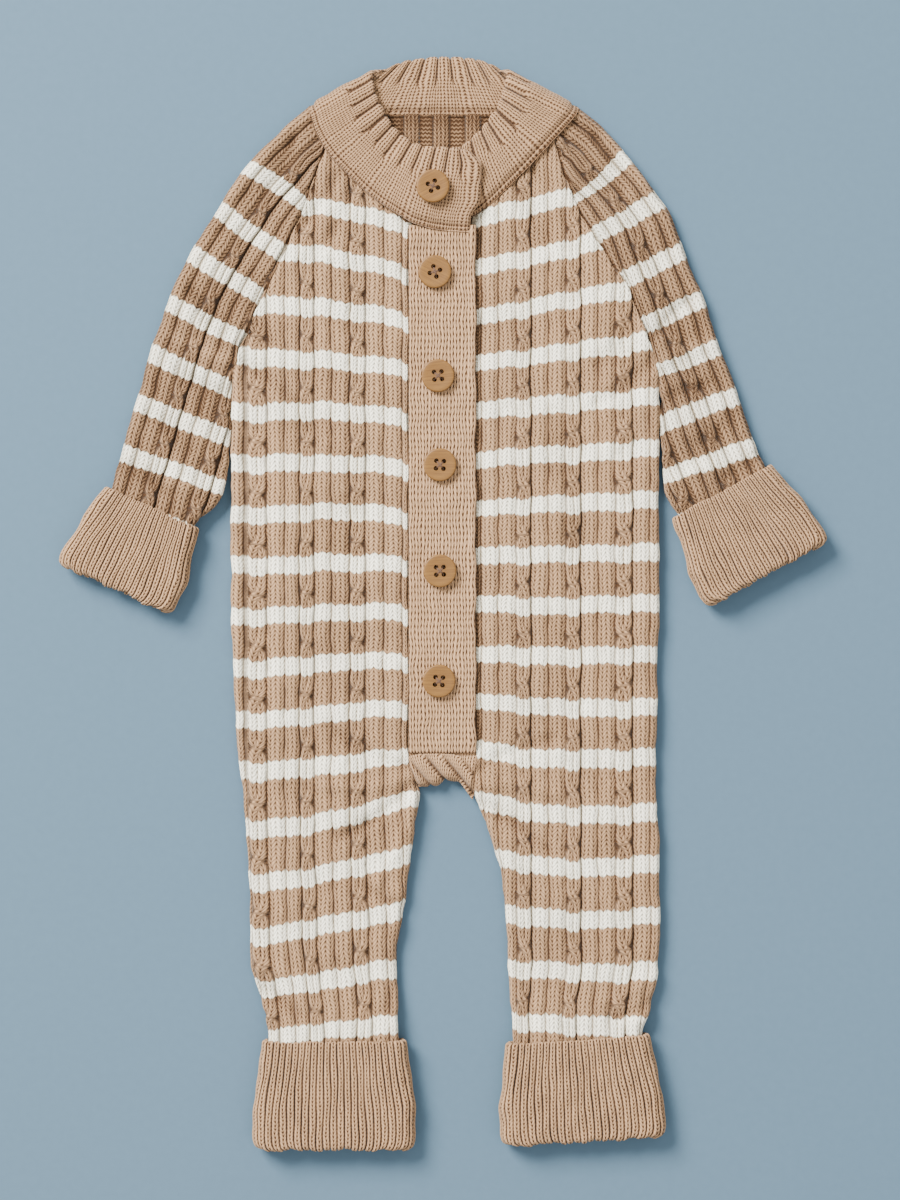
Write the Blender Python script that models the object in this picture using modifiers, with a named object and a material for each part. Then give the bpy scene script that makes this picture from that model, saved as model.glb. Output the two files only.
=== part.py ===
"""Knitted baby romper with long raglan sleeves and long legs, buttoned and laid flat on its back.

The garment lies in the XY plane: +Y runs to the neck, +Z points up from the surface it lies on,
and left and right are as seen from the front. The origin is under the middle of the garment.
"""

import math

import bmesh
import bpy
import numpy as np
from mathutils import Vector

MM = 0.001
MERGE_DISTANCE = 0.0001

# Cloth, mm
BODY_WALL = 3.0            # cable and rib knit of the body and the sleeves
TRIM_WALL = 2.6            # plain knit of the placket
STAND_WALL = 2.2           # the under band of the placket
RIB_WALL = 2.2             # one layer of the folded collar and of the cuffs
LAYER_GAP = 0.5            # between the two layers of a folded band
SEAM_GAP = 0.3             # kept between sewn pieces and between pieces that touch
FOLD_GAP = 0.5             # between the front's and the back's edge at a side fold

# The garment laid flat, mm
LAID_HEIGHT = 8.0          # two walls with the folds at the sides
SIDE_ROLL = 3.8            # width of the round at a side fold
ROLL_START = 0.12          # the fold stands upright over this share of the half height
ROLL_STEPS = 3             # faces over a quarter of a side fold
CUFF_HEIGHT = 13.2         # four layers of rib at a turned-up cuff
CUFF_LIFT = 2.6            # how far a leg or a sleeve rises into its cuff
CUFF_LIFT_LENGTH = 22.0    # the rise starts this far above the cuff
ARMPIT_Y = 124.0
CROTCH_Y = -84.0
LEFT_LEG_END_Y = -239.0
RIGHT_LEG_END_Y = -235.5
LEG_CUFF_TOP_Y = -221.0

# Placket, mm
BAND_BASE = 5.8            # height of the band's underside
BAND_TOP_Y = 191.8
BAND_END_Y = -77.7
BAND_LEFT_X = -17.9
BAND_RIGHT_X = 17.2
STAND_BASE = 3.3
STAND_LEFT_X = -16.0
STAND_TOP_Y = 189.0
STAND_END_Y = -76.8
EDGE_DIP = 1.7             # front_right sinks this much next to the band
EDGE_DIP_WIDTH = 8.0
DIP_END_LENGTH = 14.0      # the dip ends this far above the crotch

# Buttons, mm
BUTTON_DIAMETER = 17.0
BUTTON_HEIGHT = 3.1
BUTTON_RIM = 2.6           # width of the raised rim
BUTTON_DISH = 0.6          # how deep the middle lies
HOLE_DIAMETER = 2.1
HOLE_SPACING = 3.9
TAB_MID_HEIGHT = 11.6      # middle of the collar's front end above the surface

# Sections of the front pieces, from the neck to the ankle, mm:
# y, x of the outer side, x of the inner side
FRONT_LEFT_SECTIONS = (
    (233.2, -62.3, -59.4),
    (227.0, -64.7, -53.9),
    (219.2, -67.5, -46.1),
    (211.9, -69.8, -38.2),
    (205.7, -72.4, -30.0),
    (199.4, -75.1, -20.4),
    (195.5, -76.7, -18.3),
    (182.0, -82.4, -18.3),
    (168.0, -89.5, -18.3),
    (154.5, -96.2, -18.3),
    (142.0, -102.2, -18.3),
    (130.0, -107.1, -18.3),
    (122.5, -109.5, -18.3),
    (114.0, -110.1, -18.3),
    (100.0, -110.4, -18.3),
    (70.0, -110.9, -18.3),
    (30.0, -111.2, -18.3),
    (-10.0, -110.4, -18.3),
    (-45.0, -109.2, -18.3),
    (-77.0, -107.2, -18.3),
    (-84.5, -106.3, -17.6),
    (-90.7, -105.6, -15.0),
    (-98.0, -104.8, -12.0),
    (-111.0, -104.0, -13.5),
    (-129.0, -102.7, -16.1),
    (-150.0, -101.7, -18.9),
    (-180.0, -101.4, -22.7),
    (-192.0, -100.6, -23.7),
    (-199.0, -98.9, -23.7),
    (-206.0, -96.4, -23.6),
    (-213.0, -94.2, -23.4),
    (-222.0, -91.2, -23.1),
    (LEFT_LEG_END_Y, -90.8, -22.6),
)
FRONT_RIGHT_SECTIONS = (
    (237.4, 59.0, 54.7),
    (230.6, 61.0, 48.4),
    (223.3, 63.2, 41.5),
    (216.1, 65.5, 34.2),
    (208.8, 68.1, 27.0),
    (202.0, 71.7, 18.8),
    (198.5, 73.8, 17.7),
    (185.0, 82.1, 17.7),
    (174.5, 89.6, 17.7),
    (164.0, 96.3, 17.7),
    (149.5, 102.2, 17.7),
    (134.5, 108.0, 17.7),
    (126.5, 110.9, 17.7),
    (119.0, 112.4, 17.7),
    (100.0, 113.0, 17.7),
    (70.0, 112.9, 17.7),
    (30.0, 112.8, 17.7),
    (-10.0, 112.6, 17.7),
    (-45.0, 112.0, 17.7),
    (-77.0, 111.0, 17.7),
    (-83.5, 111.0, 17.5),
    (-92.8, 111.0, 16.2),
    (-102.2, 111.3, 16.2),
    (-111.0, 111.8, 20.3),
    (-124.0, 112.8, 25.5),
    (-140.0, 113.2, 29.6),
    (-160.0, 113.4, 31.5),
    (-181.0, 112.8, 33.3),
    (-199.0, 111.6, 34.2),
    (-206.0, 110.3, 34.5),
    (-213.0, 108.2, 34.9),
    (-222.0, 104.1, 35.5),
    (RIGHT_LEG_END_Y, 103.9, 36.4),
)

# Sections of the back above the crotch, mm: y, x left, x right
BACK_SECTIONS = (
    (253.4, -56.0, 52.8),
    (240.0, -60.8, 58.9),
    (224.4, -66.5, 63.7),
    (208.8, -72.2, 70.2),
    (184.0, -80.9, 82.8),
    (160.0, -93.5, 97.6),
    (136.0, -105.0, 107.5),
    (122.5, -109.4, 111.8),
    (114.0, -110.1, 112.6),
    (100.0, -110.4, 113.0),
    (70.0, -110.9, 112.9),
    (30.0, -111.2, 112.8),
    (-10.0, -110.4, 112.6),
    (-45.0, -109.2, 112.0),
    (-70.0, -107.6, 111.2),
)
BACK_CENTRE_X = -0.5

# Sections of the leg backs, mm: y, left leg outer and inner x, right leg inner and outer x
LEG_BACK_SECTIONS = (
    (-77.8, -107.1, -0.5, -0.5, 111.0),
    (-78.4, -107.0, -8.5, 7.0, 111.0),
    (-80.0, -106.9, -14.0, 12.0, 111.0),
    (-84.0, -106.4, -17.6, 17.0, 111.0),
    (-92.8, -105.4, -14.4, 16.2, 111.0),
    (-102.2, -104.5, -12.6, 16.2, 111.3),
    (-111.0, -104.0, -13.5, 20.3, 111.8),
    (-129.0, -102.7, -16.1, 27.2, 113.0),
    (-150.0, -101.7, -18.9, 30.6, 113.4),
    (-180.0, -101.4, -22.7, 33.2, 112.8),
    (-199.0, -98.9, -23.7, 34.2, 111.6),
    (-206.0, -96.4, -23.6, 34.5, 110.3),
    (-213.0, -94.2, -23.4, 34.9, 108.2),
    (-222.0, -91.2, -23.1, 35.5, 104.1),
    (RIGHT_LEG_END_Y, -90.9, -22.7, 36.4, 103.9),
)

# Sections of the sleeves from the collar to the cuff, mm:
# outer fold x y, front raglan or inner fold x y, back raglan or inner fold x y, rise into the cuff
SLEEVE_LEFT_SECTIONS = (
    (-72.0, 257.0, -62.2, 235.0, -56.9, 252.6, 0.0),
    (-80.1, 249.9, -67.1, 221.8, -61.4, 240.0, 0.0),
    (-93.6, 237.4, -70.5, 211.4, -67.1, 224.4, 0.0),
    (-105.6, 224.4, -74.9, 201.0, -72.8, 208.8, 0.0),
    (-118.6, 204.1, -82.7, 182.3, -81.6, 183.8, 0.0),
    (-132.6, 181.7, -93.8, 160.9, -94.1, 159.9, 0.0),
    (-144.0, 156.8, -105.6, 136.0, -105.6, 136.0, 0.0),
    (-150.3, 138.1, -110.0, 122.5, -110.0, 122.5, 0.0),
    (-153.9, 127.7, -110.8, 112.1, -110.8, 112.1, 0.0),
    (-160.7, 103.7, -111.4, 85.5, -111.4, 85.5, 0.0),
    (-166.6, 82.5, -112.4, 62.0, -112.4, 62.0, 0.0),
    (-170.6, 70.0, -117.0, 50.0, -117.0, 50.0, 0.55),
    (-172.5, 62.0, -127.0, 42.6, -127.0, 42.6, 1.0),
    (-173.1, 58.5, -129.9, 38.9, -129.9, 38.9, 1.0),
    (-179.0, 46.2, -135.2, 26.4, -135.2, 26.4, 1.0),
)
SLEEVE_RIGHT_SECTIONS = (
    (72.0, 257.0, 59.0, 239.0, 53.6, 252.6, 0.0),
    (82.2, 249.3, 63.4, 224.4, 59.8, 240.0, 0.0),
    (94.6, 234.8, 66.0, 216.1, 64.3, 224.4, 0.0),
    (106.6, 220.2, 69.7, 206.7, 70.7, 208.8, 0.0),
    (119.1, 202.5, 81.6, 186.9, 81.8, 187.0, 0.0),
    (127.4, 179.7, 96.2, 165.6, 96.2, 164.0, 0.0),
    (136.8, 156.8, 105.6, 142.7, 105.6, 142.0, 0.0),
    (143.5, 136.0, 111.8, 125.6, 111.8, 125.6, 0.0),
    (148.7, 122.5, 113.3, 116.2, 113.3, 116.2, 0.0),
    (155.5, 104.8, 113.8, 92.8, 113.8, 92.8, 0.0),
    (161.0, 88.5, 114.2, 69.0, 114.2, 69.0, 0.0),
    (165.3, 77.5, 115.6, 55.5, 115.6, 55.5, 0.55),
    (167.3, 73.0, 119.6, 48.6, 119.6, 48.6, 1.0),
    (168.3, 69.8, 122.0, 45.3, 122.0, 45.3, 1.0),
    (175.0, 57.4, 128.4, 32.8, 128.4, 32.8, 1.0),
)
SLEEVE_OPEN_ROWS = 7       # these sections end at the raglan seams, the rest close at the inner fold

# Cuffs, mm: middle of the top edge x y, middle of the fold x y, half width at the top edge and
# at the fold, how far the sleeve or the leg reaches in
CUFFS = {
    "leg_cuff_left": (-56.7, -228.5, -56.6, -285.0, 37.4, 42.6, 11.0),
    "leg_cuff_right": (69.9, -227.6, 73.4, -280.6, 37.2, 43.2, 11.0),
    "sleeve_cuff_left": (-151.3, 49.1, -170.7, 6.4, 26.8, 33.2, 14.5),
    "sleeve_cuff_right": (145.1, 57.5, 168.9, 14.1, 29.3, 36.6, 14.5),
}
CUFF_PROFILE = ((0.0, 0.0), (0.25, 0.35), (0.6, 0.85), (0.85, 1.0), (1.0, 0.93))

# The collar's loop from its front end around the neck to the end under it, mm:
# seam edge x y, folded edge x y, height of the middle between the two layers
COLLAR_STATIONS = (
    (14.0, 192.7, 16.1, 233.2, TAB_MID_HEIGHT),
    (3.6, 193.2, 8.8, 235.3, TAB_MID_HEIGHT),
    (-6.8, 194.7, 1.6, 235.8, TAB_MID_HEIGHT),
    (-15.6, 197.3, -5.2, 236.3, 11.4),
    (-23.9, 202.5, -9.9, 236.9, 10.3),
    (-32.8, 208.3, -15.6, 238.9, 9.0),
    (-41.6, 215.5, -21.3, 243.1, 8.4),
    (-49.4, 223.3, -26.0, 247.8, 8.3),
    (-56.7, 230.6, -29.6, 253.5, 8.3),
    (-62.4, 238.4, -32.8, 259.2, 8.3),
    (-66.6, 246.7, -34.8, 265.5, 8.3),
    (-68.1, 253.0, -35.9, 271.7, 8.3),
    (-69.0, 255.2, -35.6, 274.2, 7.5),
    (-69.2, 256.9, -34.8, 276.2, 5.6),
    (-67.8, 257.3, -33.2, 277.0, 3.6),
    (-64.5, 256.6, -30.0, 278.2, 2.8),
    (-56.0, 255.0, -24.4, 280.4, 2.8),
    (-35.4, 254.0, -17.2, 282.6, 2.8),
    (-18.2, 254.0, -9.4, 284.1, 2.8),
    (-1.6, 254.0, -1.0, 284.6, 2.8),
    (15.6, 254.0, 8.3, 284.5, 2.8),
    (33.3, 254.0, 17.2, 283.4, 2.8),
    (54.0, 255.0, 24.4, 280.8, 2.8),
    (63.8, 256.4, 29.0, 278.2, 2.8),
    (67.6, 257.3, 31.6, 276.6, 3.6),
    (69.4, 256.9, 32.6, 275.6, 5.6),
    (69.2, 255.0, 32.8, 273.2, 7.5),
    (68.1, 253.0, 32.2, 271.0, 8.3),
    (63.4, 247.8, 30.8, 265.6, 8.3),
    (57.7, 241.5, 29.1, 260.8, 8.3),
    (51.0, 234.3, 27.0, 256.1, 8.3),
    (43.2, 225.9, 23.9, 251.9, 8.2),
    (34.8, 217.6, 20.3, 247.3, 7.6),
    (26.5, 209.3, 16.1, 242.6, 6.8),
    (18.2, 202.5, 12.0, 238.4, 6.2),
    (7.8, 197.9, 6.8, 235.8, 6.1),
    (-3.1, 195.3, 0.0, 234.8, 6.1),
    (-14.0, 194.2, -6.8, 234.3, 6.1),
)

# The gusset from the left to the right leg, mm: top seam x y, crotch fold x y
GUSSET_STATIONS = (
    (-17.0, -84.4, -11.4, -96.5),
    (-12.3, -80.2, -8.3, -96.7),
    (-6.8, -78.9, -4.7, -95.9),
    (-0.5, -78.9, -0.5, -93.9),
    (5.2, -79.2, 4.2, -92.6),
    (10.4, -80.5, 8.3, -93.3),
    (15.2, -82.9, 13.4, -100.2),
)

# Buttons from the collar to the crotch: x, y in mm, turn in degrees
BUTTONS = (
    (-5.2, 215.0, 25.0),
    (-4.2, 171.3, -28.0),
    (-2.6, 117.3, 4.0),
    (-1.6, 71.0, -3.0),
    (-1.6, 15.9, 2.0),
    (-2.1, -41.3, -4.0),
)

KNIT_COLOUR = (0.52, 0.36, 0.23, 1.0)
TRIM_COLOUR = (0.56, 0.38, 0.26, 1.0)
WOOD_COLOUR = (0.45, 0.25, 0.10, 1.0)


def smooth_step(value):
    """0 below 0, 1 above 1, with an even rise between."""
    value = min(max(value, 0.0), 1.0)
    return value * value * (3.0 - 2.0 * value)


def make_material(name, colour, roughness):
    """A plain Principled material."""
    material = bpy.data.materials.new(name)
    material.use_nodes = True
    shader = material.node_tree.nodes["Principled BSDF"]
    shader.inputs["Base Color"].default_value = colour
    shader.inputs["Roughness"].default_value = roughness
    return material


def make_collection(name):
    """A new collection in the scene."""
    collection = bpy.data.collections.new(name)
    bpy.context.scene.collection.children.link(collection)
    return collection


def sheet_object(name, rows, material, collection, close_rows=False):
    """An open surface through equal rows of points in mm; close_rows joins each row's ends.

    Points that coincide along a row's ends are merged, so a tube may start as an open strip.
    """
    builder = bmesh.new()
    grid = [[builder.verts.new(Vector(point) * MM) for point in row] for row in rows]
    for upper, lower in zip(grid, grid[1:]):
        count = len(upper)
        for index in range(count if close_rows else count - 1):
            after = (index + 1) % count
            builder.faces.new((upper[index], lower[index], lower[after], upper[after]))
    bmesh.ops.remove_doubles(builder, verts=builder.verts, dist=MERGE_DISTANCE)
    mesh = bpy.data.meshes.new(name)
    builder.to_mesh(mesh)
    builder.free()
    mesh.materials.append(material)
    item = bpy.data.objects.new(name, mesh)
    collection.objects.link(item)
    return item


def add_wall(item, thickness, offset):
    """Gives an open surface its thickness in mm; offset -1 grows inwards, 0 both ways."""
    wall = item.modifiers.new("wall", "SOLIDIFY")
    wall.thickness = thickness * MM
    wall.offset = offset
    wall.use_quality_normals = True


def roll_points():
    """The round of a side fold: distances from the fold and shares of the half height."""
    points = [(0.0, 0.0)]
    for step in range(ROLL_STEPS + 1):
        angle = math.pi / 2 * step / ROLL_STEPS
        rise = ROLL_START + (1.0 - ROLL_START) * math.sin(angle)
        points.append((SIDE_ROLL * (1.0 - math.cos(angle)), rise))
    return points


def row_profile(width, middle_points, outer_share, inner_share):
    """Points across a row: distances from the outer edge and shares of the half height.

    A share of 0 makes an edge a flat seam, a share of 1 a full fold.
    """
    scale = min(1.0, width / (2.4 * SIDE_ROLL))
    outer = [(scale * distance, 1.0 + outer_share * (rise - 1.0)) for distance, rise in roll_points()]
    inner = [(width - scale * distance, 1.0 + inner_share * (rise - 1.0))
             for distance, rise in reversed(roll_points())]
    start = outer[-1][0]
    span = (inner[0][0] - start) / (middle_points + 1)
    middle = [(start + span * (step + 1), 1.0) for step in range(middle_points)]
    return outer + middle + inner


def leg_level(y):
    """Height of the middle of the flat tube at y."""
    rise = smooth_step((LEG_CUFF_TOP_Y + CUFF_LIFT_LENGTH - y) / CUFF_LIFT_LENGTH)
    return LAID_HEIGHT / 2 + CUFF_LIFT * rise


def side_share(y):
    """How far the body's side has become a fold: none at the raglan seam, full below the armpit."""
    return smooth_step((ARMPIT_Y + 4.0 - y) / 14.0)


def crotch_share(y):
    """How far the inner side has become the leg's inner fold."""
    return smooth_step((CROTCH_Y - y) / 14.0)


def body_row(y, side_x, inner_x, middle_points, face):
    """A row of the outer face of the front (face 1) or the back (face -1), from its side inwards."""
    middle = leg_level(y)
    width = abs(inner_x - side_x)
    step = math.copysign(1.0, inner_x - side_x)
    row = []
    for distance, share in row_profile(width, middle_points, side_share(y), crotch_share(y)):
        height = max(LAID_HEIGHT / 2 * share, FOLD_GAP / 2)
        row.append((side_x + step * distance, y, middle + face * height))
    return row


def front_rows(sections, middle_points, dip):
    """Rows of the outer face of one front; dip lowers the edge that lies next to the band."""
    rows = []
    for y, side_x, inner_x in sections:
        row = []
        for x, _, height in body_row(y, side_x, inner_x, middle_points, 1):
            near = 1.0 - smooth_step(abs(inner_x - x) / EDGE_DIP_WIDTH)
            sink = dip * near * (1.0 - crotch_share(y - DIP_END_LENGTH))
            row.append((x, y, height - sink))
        rows.append(row)
    return rows


def build_fronts(material, collection):
    """Both fronts, each with its leg."""
    left = sheet_object("front_left", front_rows(FRONT_LEFT_SECTIONS, 4, 0.0), material, collection)
    add_wall(left, BODY_WALL, -1.0)
    rows = [list(reversed(row)) for row in front_rows(FRONT_RIGHT_SECTIONS, 4, EDGE_DIP)]
    right = sheet_object("front_right", rows, material, collection)
    add_wall(right, BODY_WALL, -1.0)


def build_back(material, collection):
    """The back: two strips that share their middle line above the crotch."""
    left_rows = [body_row(y, left, BACK_CENTRE_X, 3, -1) for y, left, _ in BACK_SECTIONS]
    right_rows = [body_row(y, right, BACK_CENTRE_X, 3, -1) for y, _, right in BACK_SECTIONS]
    for y, left, left_inner, right_inner, right in LEG_BACK_SECTIONS:
        left_rows.append(body_row(y, left, left_inner, 3, -1))
        right_rows.append(body_row(y, right, right_inner, 3, -1))
    back = sheet_object("back_panel", [list(reversed(row)) for row in left_rows], material, collection)
    other = sheet_object("back_right_half", right_rows, material, collection)
    builder = bmesh.new()
    builder.from_mesh(back.data)
    builder.from_mesh(other.data)
    bmesh.ops.remove_doubles(builder, verts=builder.verts, dist=MERGE_DISTANCE)
    builder.to_mesh(back.data)
    builder.free()
    bpy.data.objects.remove(other)
    add_wall(back, BODY_WALL, -1.0)


def sleeve_rows(sections):
    """Rings of a flat sleeve: over the top from the inner side, round the fold, back underneath."""
    rows = []
    for index, section in enumerate(sections):
        outer = Vector(section[0:2])
        top_inner = Vector(section[2:4])
        under_inner = Vector(section[4:6])
        rise = section[6]
        half = LAID_HEIGHT / 2
        middle = half + CUFF_LIFT * rise
        share = smooth_step((index + 2 - SLEEVE_OPEN_ROWS) / 2)
        row = []
        for inner, face in ((top_inner, 1), (under_inner, -1)):
            width = (outer - inner).length
            direction = (outer - inner) / width
            half_row = []
            for distance, height in row_profile(width, 4, share, 1.0):
                place = inner + direction * distance
                half_row.append((place.x, place.y, middle + face * half * height))
            row += half_row if face > 0 else list(reversed(half_row))[1:]
        rows.append(row)
    return rows


def build_sleeves(material, collection):
    """Both sleeves: open above the armpit, where the raglan seams are, and tubes below it."""
    rows = sleeve_rows(SLEEVE_LEFT_SECTIONS)
    left = sheet_object("sleeve_left", [list(reversed(row)) for row in rows], material, collection)
    add_wall(left, BODY_WALL, -1.0)
    right = sheet_object("sleeve_right", sleeve_rows(SLEEVE_RIGHT_SECTIONS), material, collection)
    add_wall(right, BODY_WALL, -1.0)


def stadium(half_width, half_height, straight_steps=3, round_steps=6):
    """A closed flat ring with round ends: points across and up, from the top of the left end down."""
    points = []
    reach = half_width - half_height
    for side in (-1.0, 1.0):
        for step in range(round_steps):
            angle = math.pi * step / round_steps - math.pi / 2
            across = reach + half_height * math.cos(angle)
            points.append((side * across, side * half_height * math.sin(angle)))
        for step in range(straight_steps):
            across = reach * (1.0 - 2.0 * step / straight_steps)
            points.append((side * across, side * half_height))
    return points


def folded_path(length, start, half_gap, fold_steps=3):
    """Path through a folded band: down the inner layer, round the fold, back up the outer layer.

    Returns pairs of distance along the band and offset outwards from the inner layer.
    """
    centre = length - RIB_WALL / 2 - half_gap
    path = [(start, 0.0), ((start + centre) / 2, 0.0), (centre, 0.0)]
    for step in range(1, fold_steps):
        angle = math.pi * step / fold_steps
        path.append((centre + half_gap * math.sin(angle), half_gap * (1.0 - math.cos(angle))))
    for share in (1.0, 0.85, 0.55, 0.28, 0.0):
        path.append((centre * share, 2 * half_gap))
    return path


def cuff_half_width(share, top, fold):
    """Half width of a cuff at a share of its length from the top edge."""
    shares = [row[0] for row in CUFF_PROFILE]
    growth = [row[1] for row in CUFF_PROFILE]
    return top + (fold - top) * float(np.interp(share, shares, growth))


def build_cuff(name, sizes, material, collection):
    """A turned-up cuff: one rib tube folded over itself, as a closed ring swept along a hairpin."""
    top_x, top_y, fold_x, fold_y, top_half, fold_half, reach = sizes
    top = Vector((top_x, top_y, 0.0))
    axis = Vector((fold_x, fold_y, 0.0)) - top
    length = axis.length
    axis.normalize()
    across = Vector((-axis.y, axis.x, 0.0))
    half_gap = (RIB_WALL + LAYER_GAP) / 2
    rows = []
    for distance, offset in folded_path(length, reach + SEAM_GAP, half_gap):
        outer_half = cuff_half_width(distance / length, top_half, fold_half) - RIB_WALL / 2
        ring_half = outer_half - 2 * half_gap + offset
        ring_height = CUFF_HEIGHT / 2 - RIB_WALL / 2 - 2 * half_gap + offset
        row = []
        for sideways, up in stadium(ring_half, ring_height):
            place = top + axis * distance + across * sideways
            row.append((place.x, place.y, CUFF_HEIGHT / 2 + up))
        rows.append(row)
    cuff = sheet_object(name, rows, material, collection, close_rows=True)
    add_wall(cuff, RIB_WALL, 0.0)


def build_collar(material, collection):
    """The collar: a band folded along its upper edge, led around the neck and crossed in front."""
    half_gap = (RIB_WALL + LAYER_GAP) / 2
    seam_edge = [Vector((row[0], row[1], row[4])) for row in COLLAR_STATIONS]
    fold_edge = [Vector((row[2], row[3], row[4])) for row in COLLAR_STATIONS]
    rows = []
    for index, (seam, fold) in enumerate(zip(seam_edge, fold_edge)):
        before = max(index - 1, 0)
        after = min(index + 1, len(COLLAR_STATIONS) - 1)
        ahead = (seam_edge[after] + fold_edge[after]) - (seam_edge[before] + fold_edge[before])
        upward = (fold - seam).normalized()
        normal = ahead.cross(upward).normalized()
        width = (fold - seam).length
        centre = width - RIB_WALL / 2 - half_gap
        path = [(0.0, half_gap), (centre / 2, half_gap), (centre, half_gap)]
        for step in range(1, 4):
            angle = math.pi * step / 4
            path.append((centre + half_gap * math.sin(angle), half_gap * math.cos(angle)))
        path += [(centre, -half_gap), (centre / 2, -half_gap), (0.0, -half_gap)]
        rows.append([tuple(seam + upward * along + normal * out) for along, out in path])
    collar = sheet_object("collar", rows, material, collection)
    add_wall(collar, RIB_WALL, 0.0)


def build_placket(material, collection):
    """The button band on top and the button stand under it, two long flat strips."""
    strips = (
        ("button_band", BAND_LEFT_X, BAND_RIGHT_X, BAND_TOP_Y, BAND_END_Y, BAND_BASE, TRIM_WALL),
        ("button_stand", STAND_LEFT_X, BAND_RIGHT_X, STAND_TOP_Y, STAND_END_Y, STAND_BASE, STAND_WALL),
    )
    for name, left, right, top, end, base, wall in strips:
        outline = bpy.data.curves.new(name, "CURVE")
        outline.dimensions = "2D"
        outline.fill_mode = "BOTH"
        outline.extrude = wall * MM / 2
        spline = outline.splines.new("POLY")
        corners = ((left, end), (right, end), (right, top), (left, top))
        spline.points.add(len(corners) - 1)
        for point, (x, y) in zip(spline.points, corners):
            point.co = (x * MM, y * MM, 0.0, 1.0)
        spline.use_cyclic_u = True
        outline.materials.append(material)
        strip = bpy.data.objects.new(name, outline)
        strip.location.z = (base + wall / 2) * MM
        collection.objects.link(strip)


def build_gusset(material, collection):
    """The insert between the legs: from the front seam over the crotch fold to the back seam."""
    rows = []
    for top_x, top_y, fold_x, fold_y in GUSSET_STATIONS:
        seam = Vector((top_x, top_y))
        fold = Vector((fold_x, fold_y))
        width = (seam - fold).length
        direction = (seam - fold) / width
        half = LAID_HEIGHT / 2
        front = []
        for distance, share in roll_points():
            place = fold + direction * distance
            front.append((place.x, place.y, half * share))
        front.append((seam.x, seam.y, half))
        row = [(x, y, half - height) for x, y, height in reversed(front)]
        row += [(x, y, half + height) for x, y, height in front[1:]]
        rows.append(row)
    gusset = sheet_object("crotch_gusset", rows, material, collection)
    add_wall(gusset, TRIM_WALL, -1.0)


def button_mesh(cutter_collection):
    """A turned wooden disc with a raised rim and a dished middle, with four holes through it."""
    radius = BUTTON_DIAMETER / 2
    round_edge = 0.5
    inner = radius - BUTTON_RIM
    profile = (
        (0.0, 0.0),
        (radius - 2 * round_edge, 0.0),
        (radius, 2 * round_edge),
        (radius, BUTTON_HEIGHT - round_edge),
        (radius - round_edge, BUTTON_HEIGHT),
        (inner, BUTTON_HEIGHT),
        (inner - 2 * round_edge, BUTTON_HEIGHT - BUTTON_DISH),
        (0.0, BUTTON_HEIGHT - BUTTON_DISH),
    )
    mesh = bpy.data.meshes.new("button_profile")
    points = [(across * MM, 0.0, up * MM) for across, up in reversed(profile)]
    mesh.from_pydata(points, [(step, step + 1) for step in range(len(points) - 1)], [])
    blank = bpy.data.objects.new("button_blank", mesh)
    cutter_collection.objects.link(blank)
    turn = blank.modifiers.new("turn", "SCREW")
    turn.steps = 24
    turn.render_steps = 24
    turn.use_merge_vertices = True
    turn.merge_threshold = 0.00001
    half = HOLE_SPACING / 2
    for index, (x, y) in enumerate(((half, half), (-half, half), (-half, -half), (half, -half))):
        bpy.ops.mesh.primitive_cylinder_add(
            vertices=10, radius=HOLE_DIAMETER / 2 * MM, depth=4 * BUTTON_HEIGHT * MM,
            location=(x * MM, y * MM, 0.0))
        cutter = bpy.context.object
        cutter.name = f"hole_cutter_{index + 1}"
        cutter.hide_render = True
        cutter.display_type = "WIRE"
        for owner in list(cutter.users_collection):
            owner.objects.unlink(cutter)
        cutter_collection.objects.link(cutter)
        hole = blank.modifiers.new(f"hole_{index + 1}", "BOOLEAN")
        hole.operation = "DIFFERENCE"
        hole.object = cutter
    bpy.context.view_layer.update()
    graph = bpy.context.evaluated_depsgraph_get()
    finished = bpy.data.meshes.new_from_object(blank.evaluated_get(graph))
    finished.name = "button"
    bpy.data.objects.remove(blank)
    return finished


def build_buttons(material, collection, cutter_collection):
    """Six buttons: the first on the collar's front end, the others down the band."""
    mesh = button_mesh(cutter_collection)
    mesh.materials.clear()
    mesh.materials.append(material)
    collar_half = RIB_WALL + LAYER_GAP / 2
    for index, (x, y, turn) in enumerate(BUTTONS):
        button = bpy.data.objects.new(f"button_{index + 1}", mesh)
        seat = TAB_MID_HEIGHT + collar_half if index == 0 else BAND_BASE + TRIM_WALL
        button.location = Vector((x, y, seat + SEAM_GAP)) * MM
        button.rotation_euler.z = math.radians(turn)
        collection.objects.link(button)


def main():
    """Builds the whole garment."""
    for item in list(bpy.data.objects):
        bpy.data.objects.remove(item)
    romper = make_collection("baby_romper")
    cutters = make_collection("cutters")
    knit = make_material("knit_body", KNIT_COLOUR, 0.9)
    trim = make_material("knit_trim", TRIM_COLOUR, 0.9)
    wood = make_material("wood", WOOD_COLOUR, 0.5)
    build_back(knit, romper)
    build_fronts(knit, romper)
    build_sleeves(knit, romper)
    build_placket(trim, romper)
    build_collar(trim, romper)
    build_gusset(trim, romper)
    for name, sizes in CUFFS.items():
        build_cuff(name, sizes, trim, romper)
    build_buttons(wood, romper, cutters)


main()
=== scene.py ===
"""A knitted baby romper laid flat on its back, seen from straight above.

Every length is in millimetres until a mesh is made; only the room is in metres. Arc is the distance
measured along the cloth across a row, wales count the stitches across and courses count them up.
"""

import math

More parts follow.
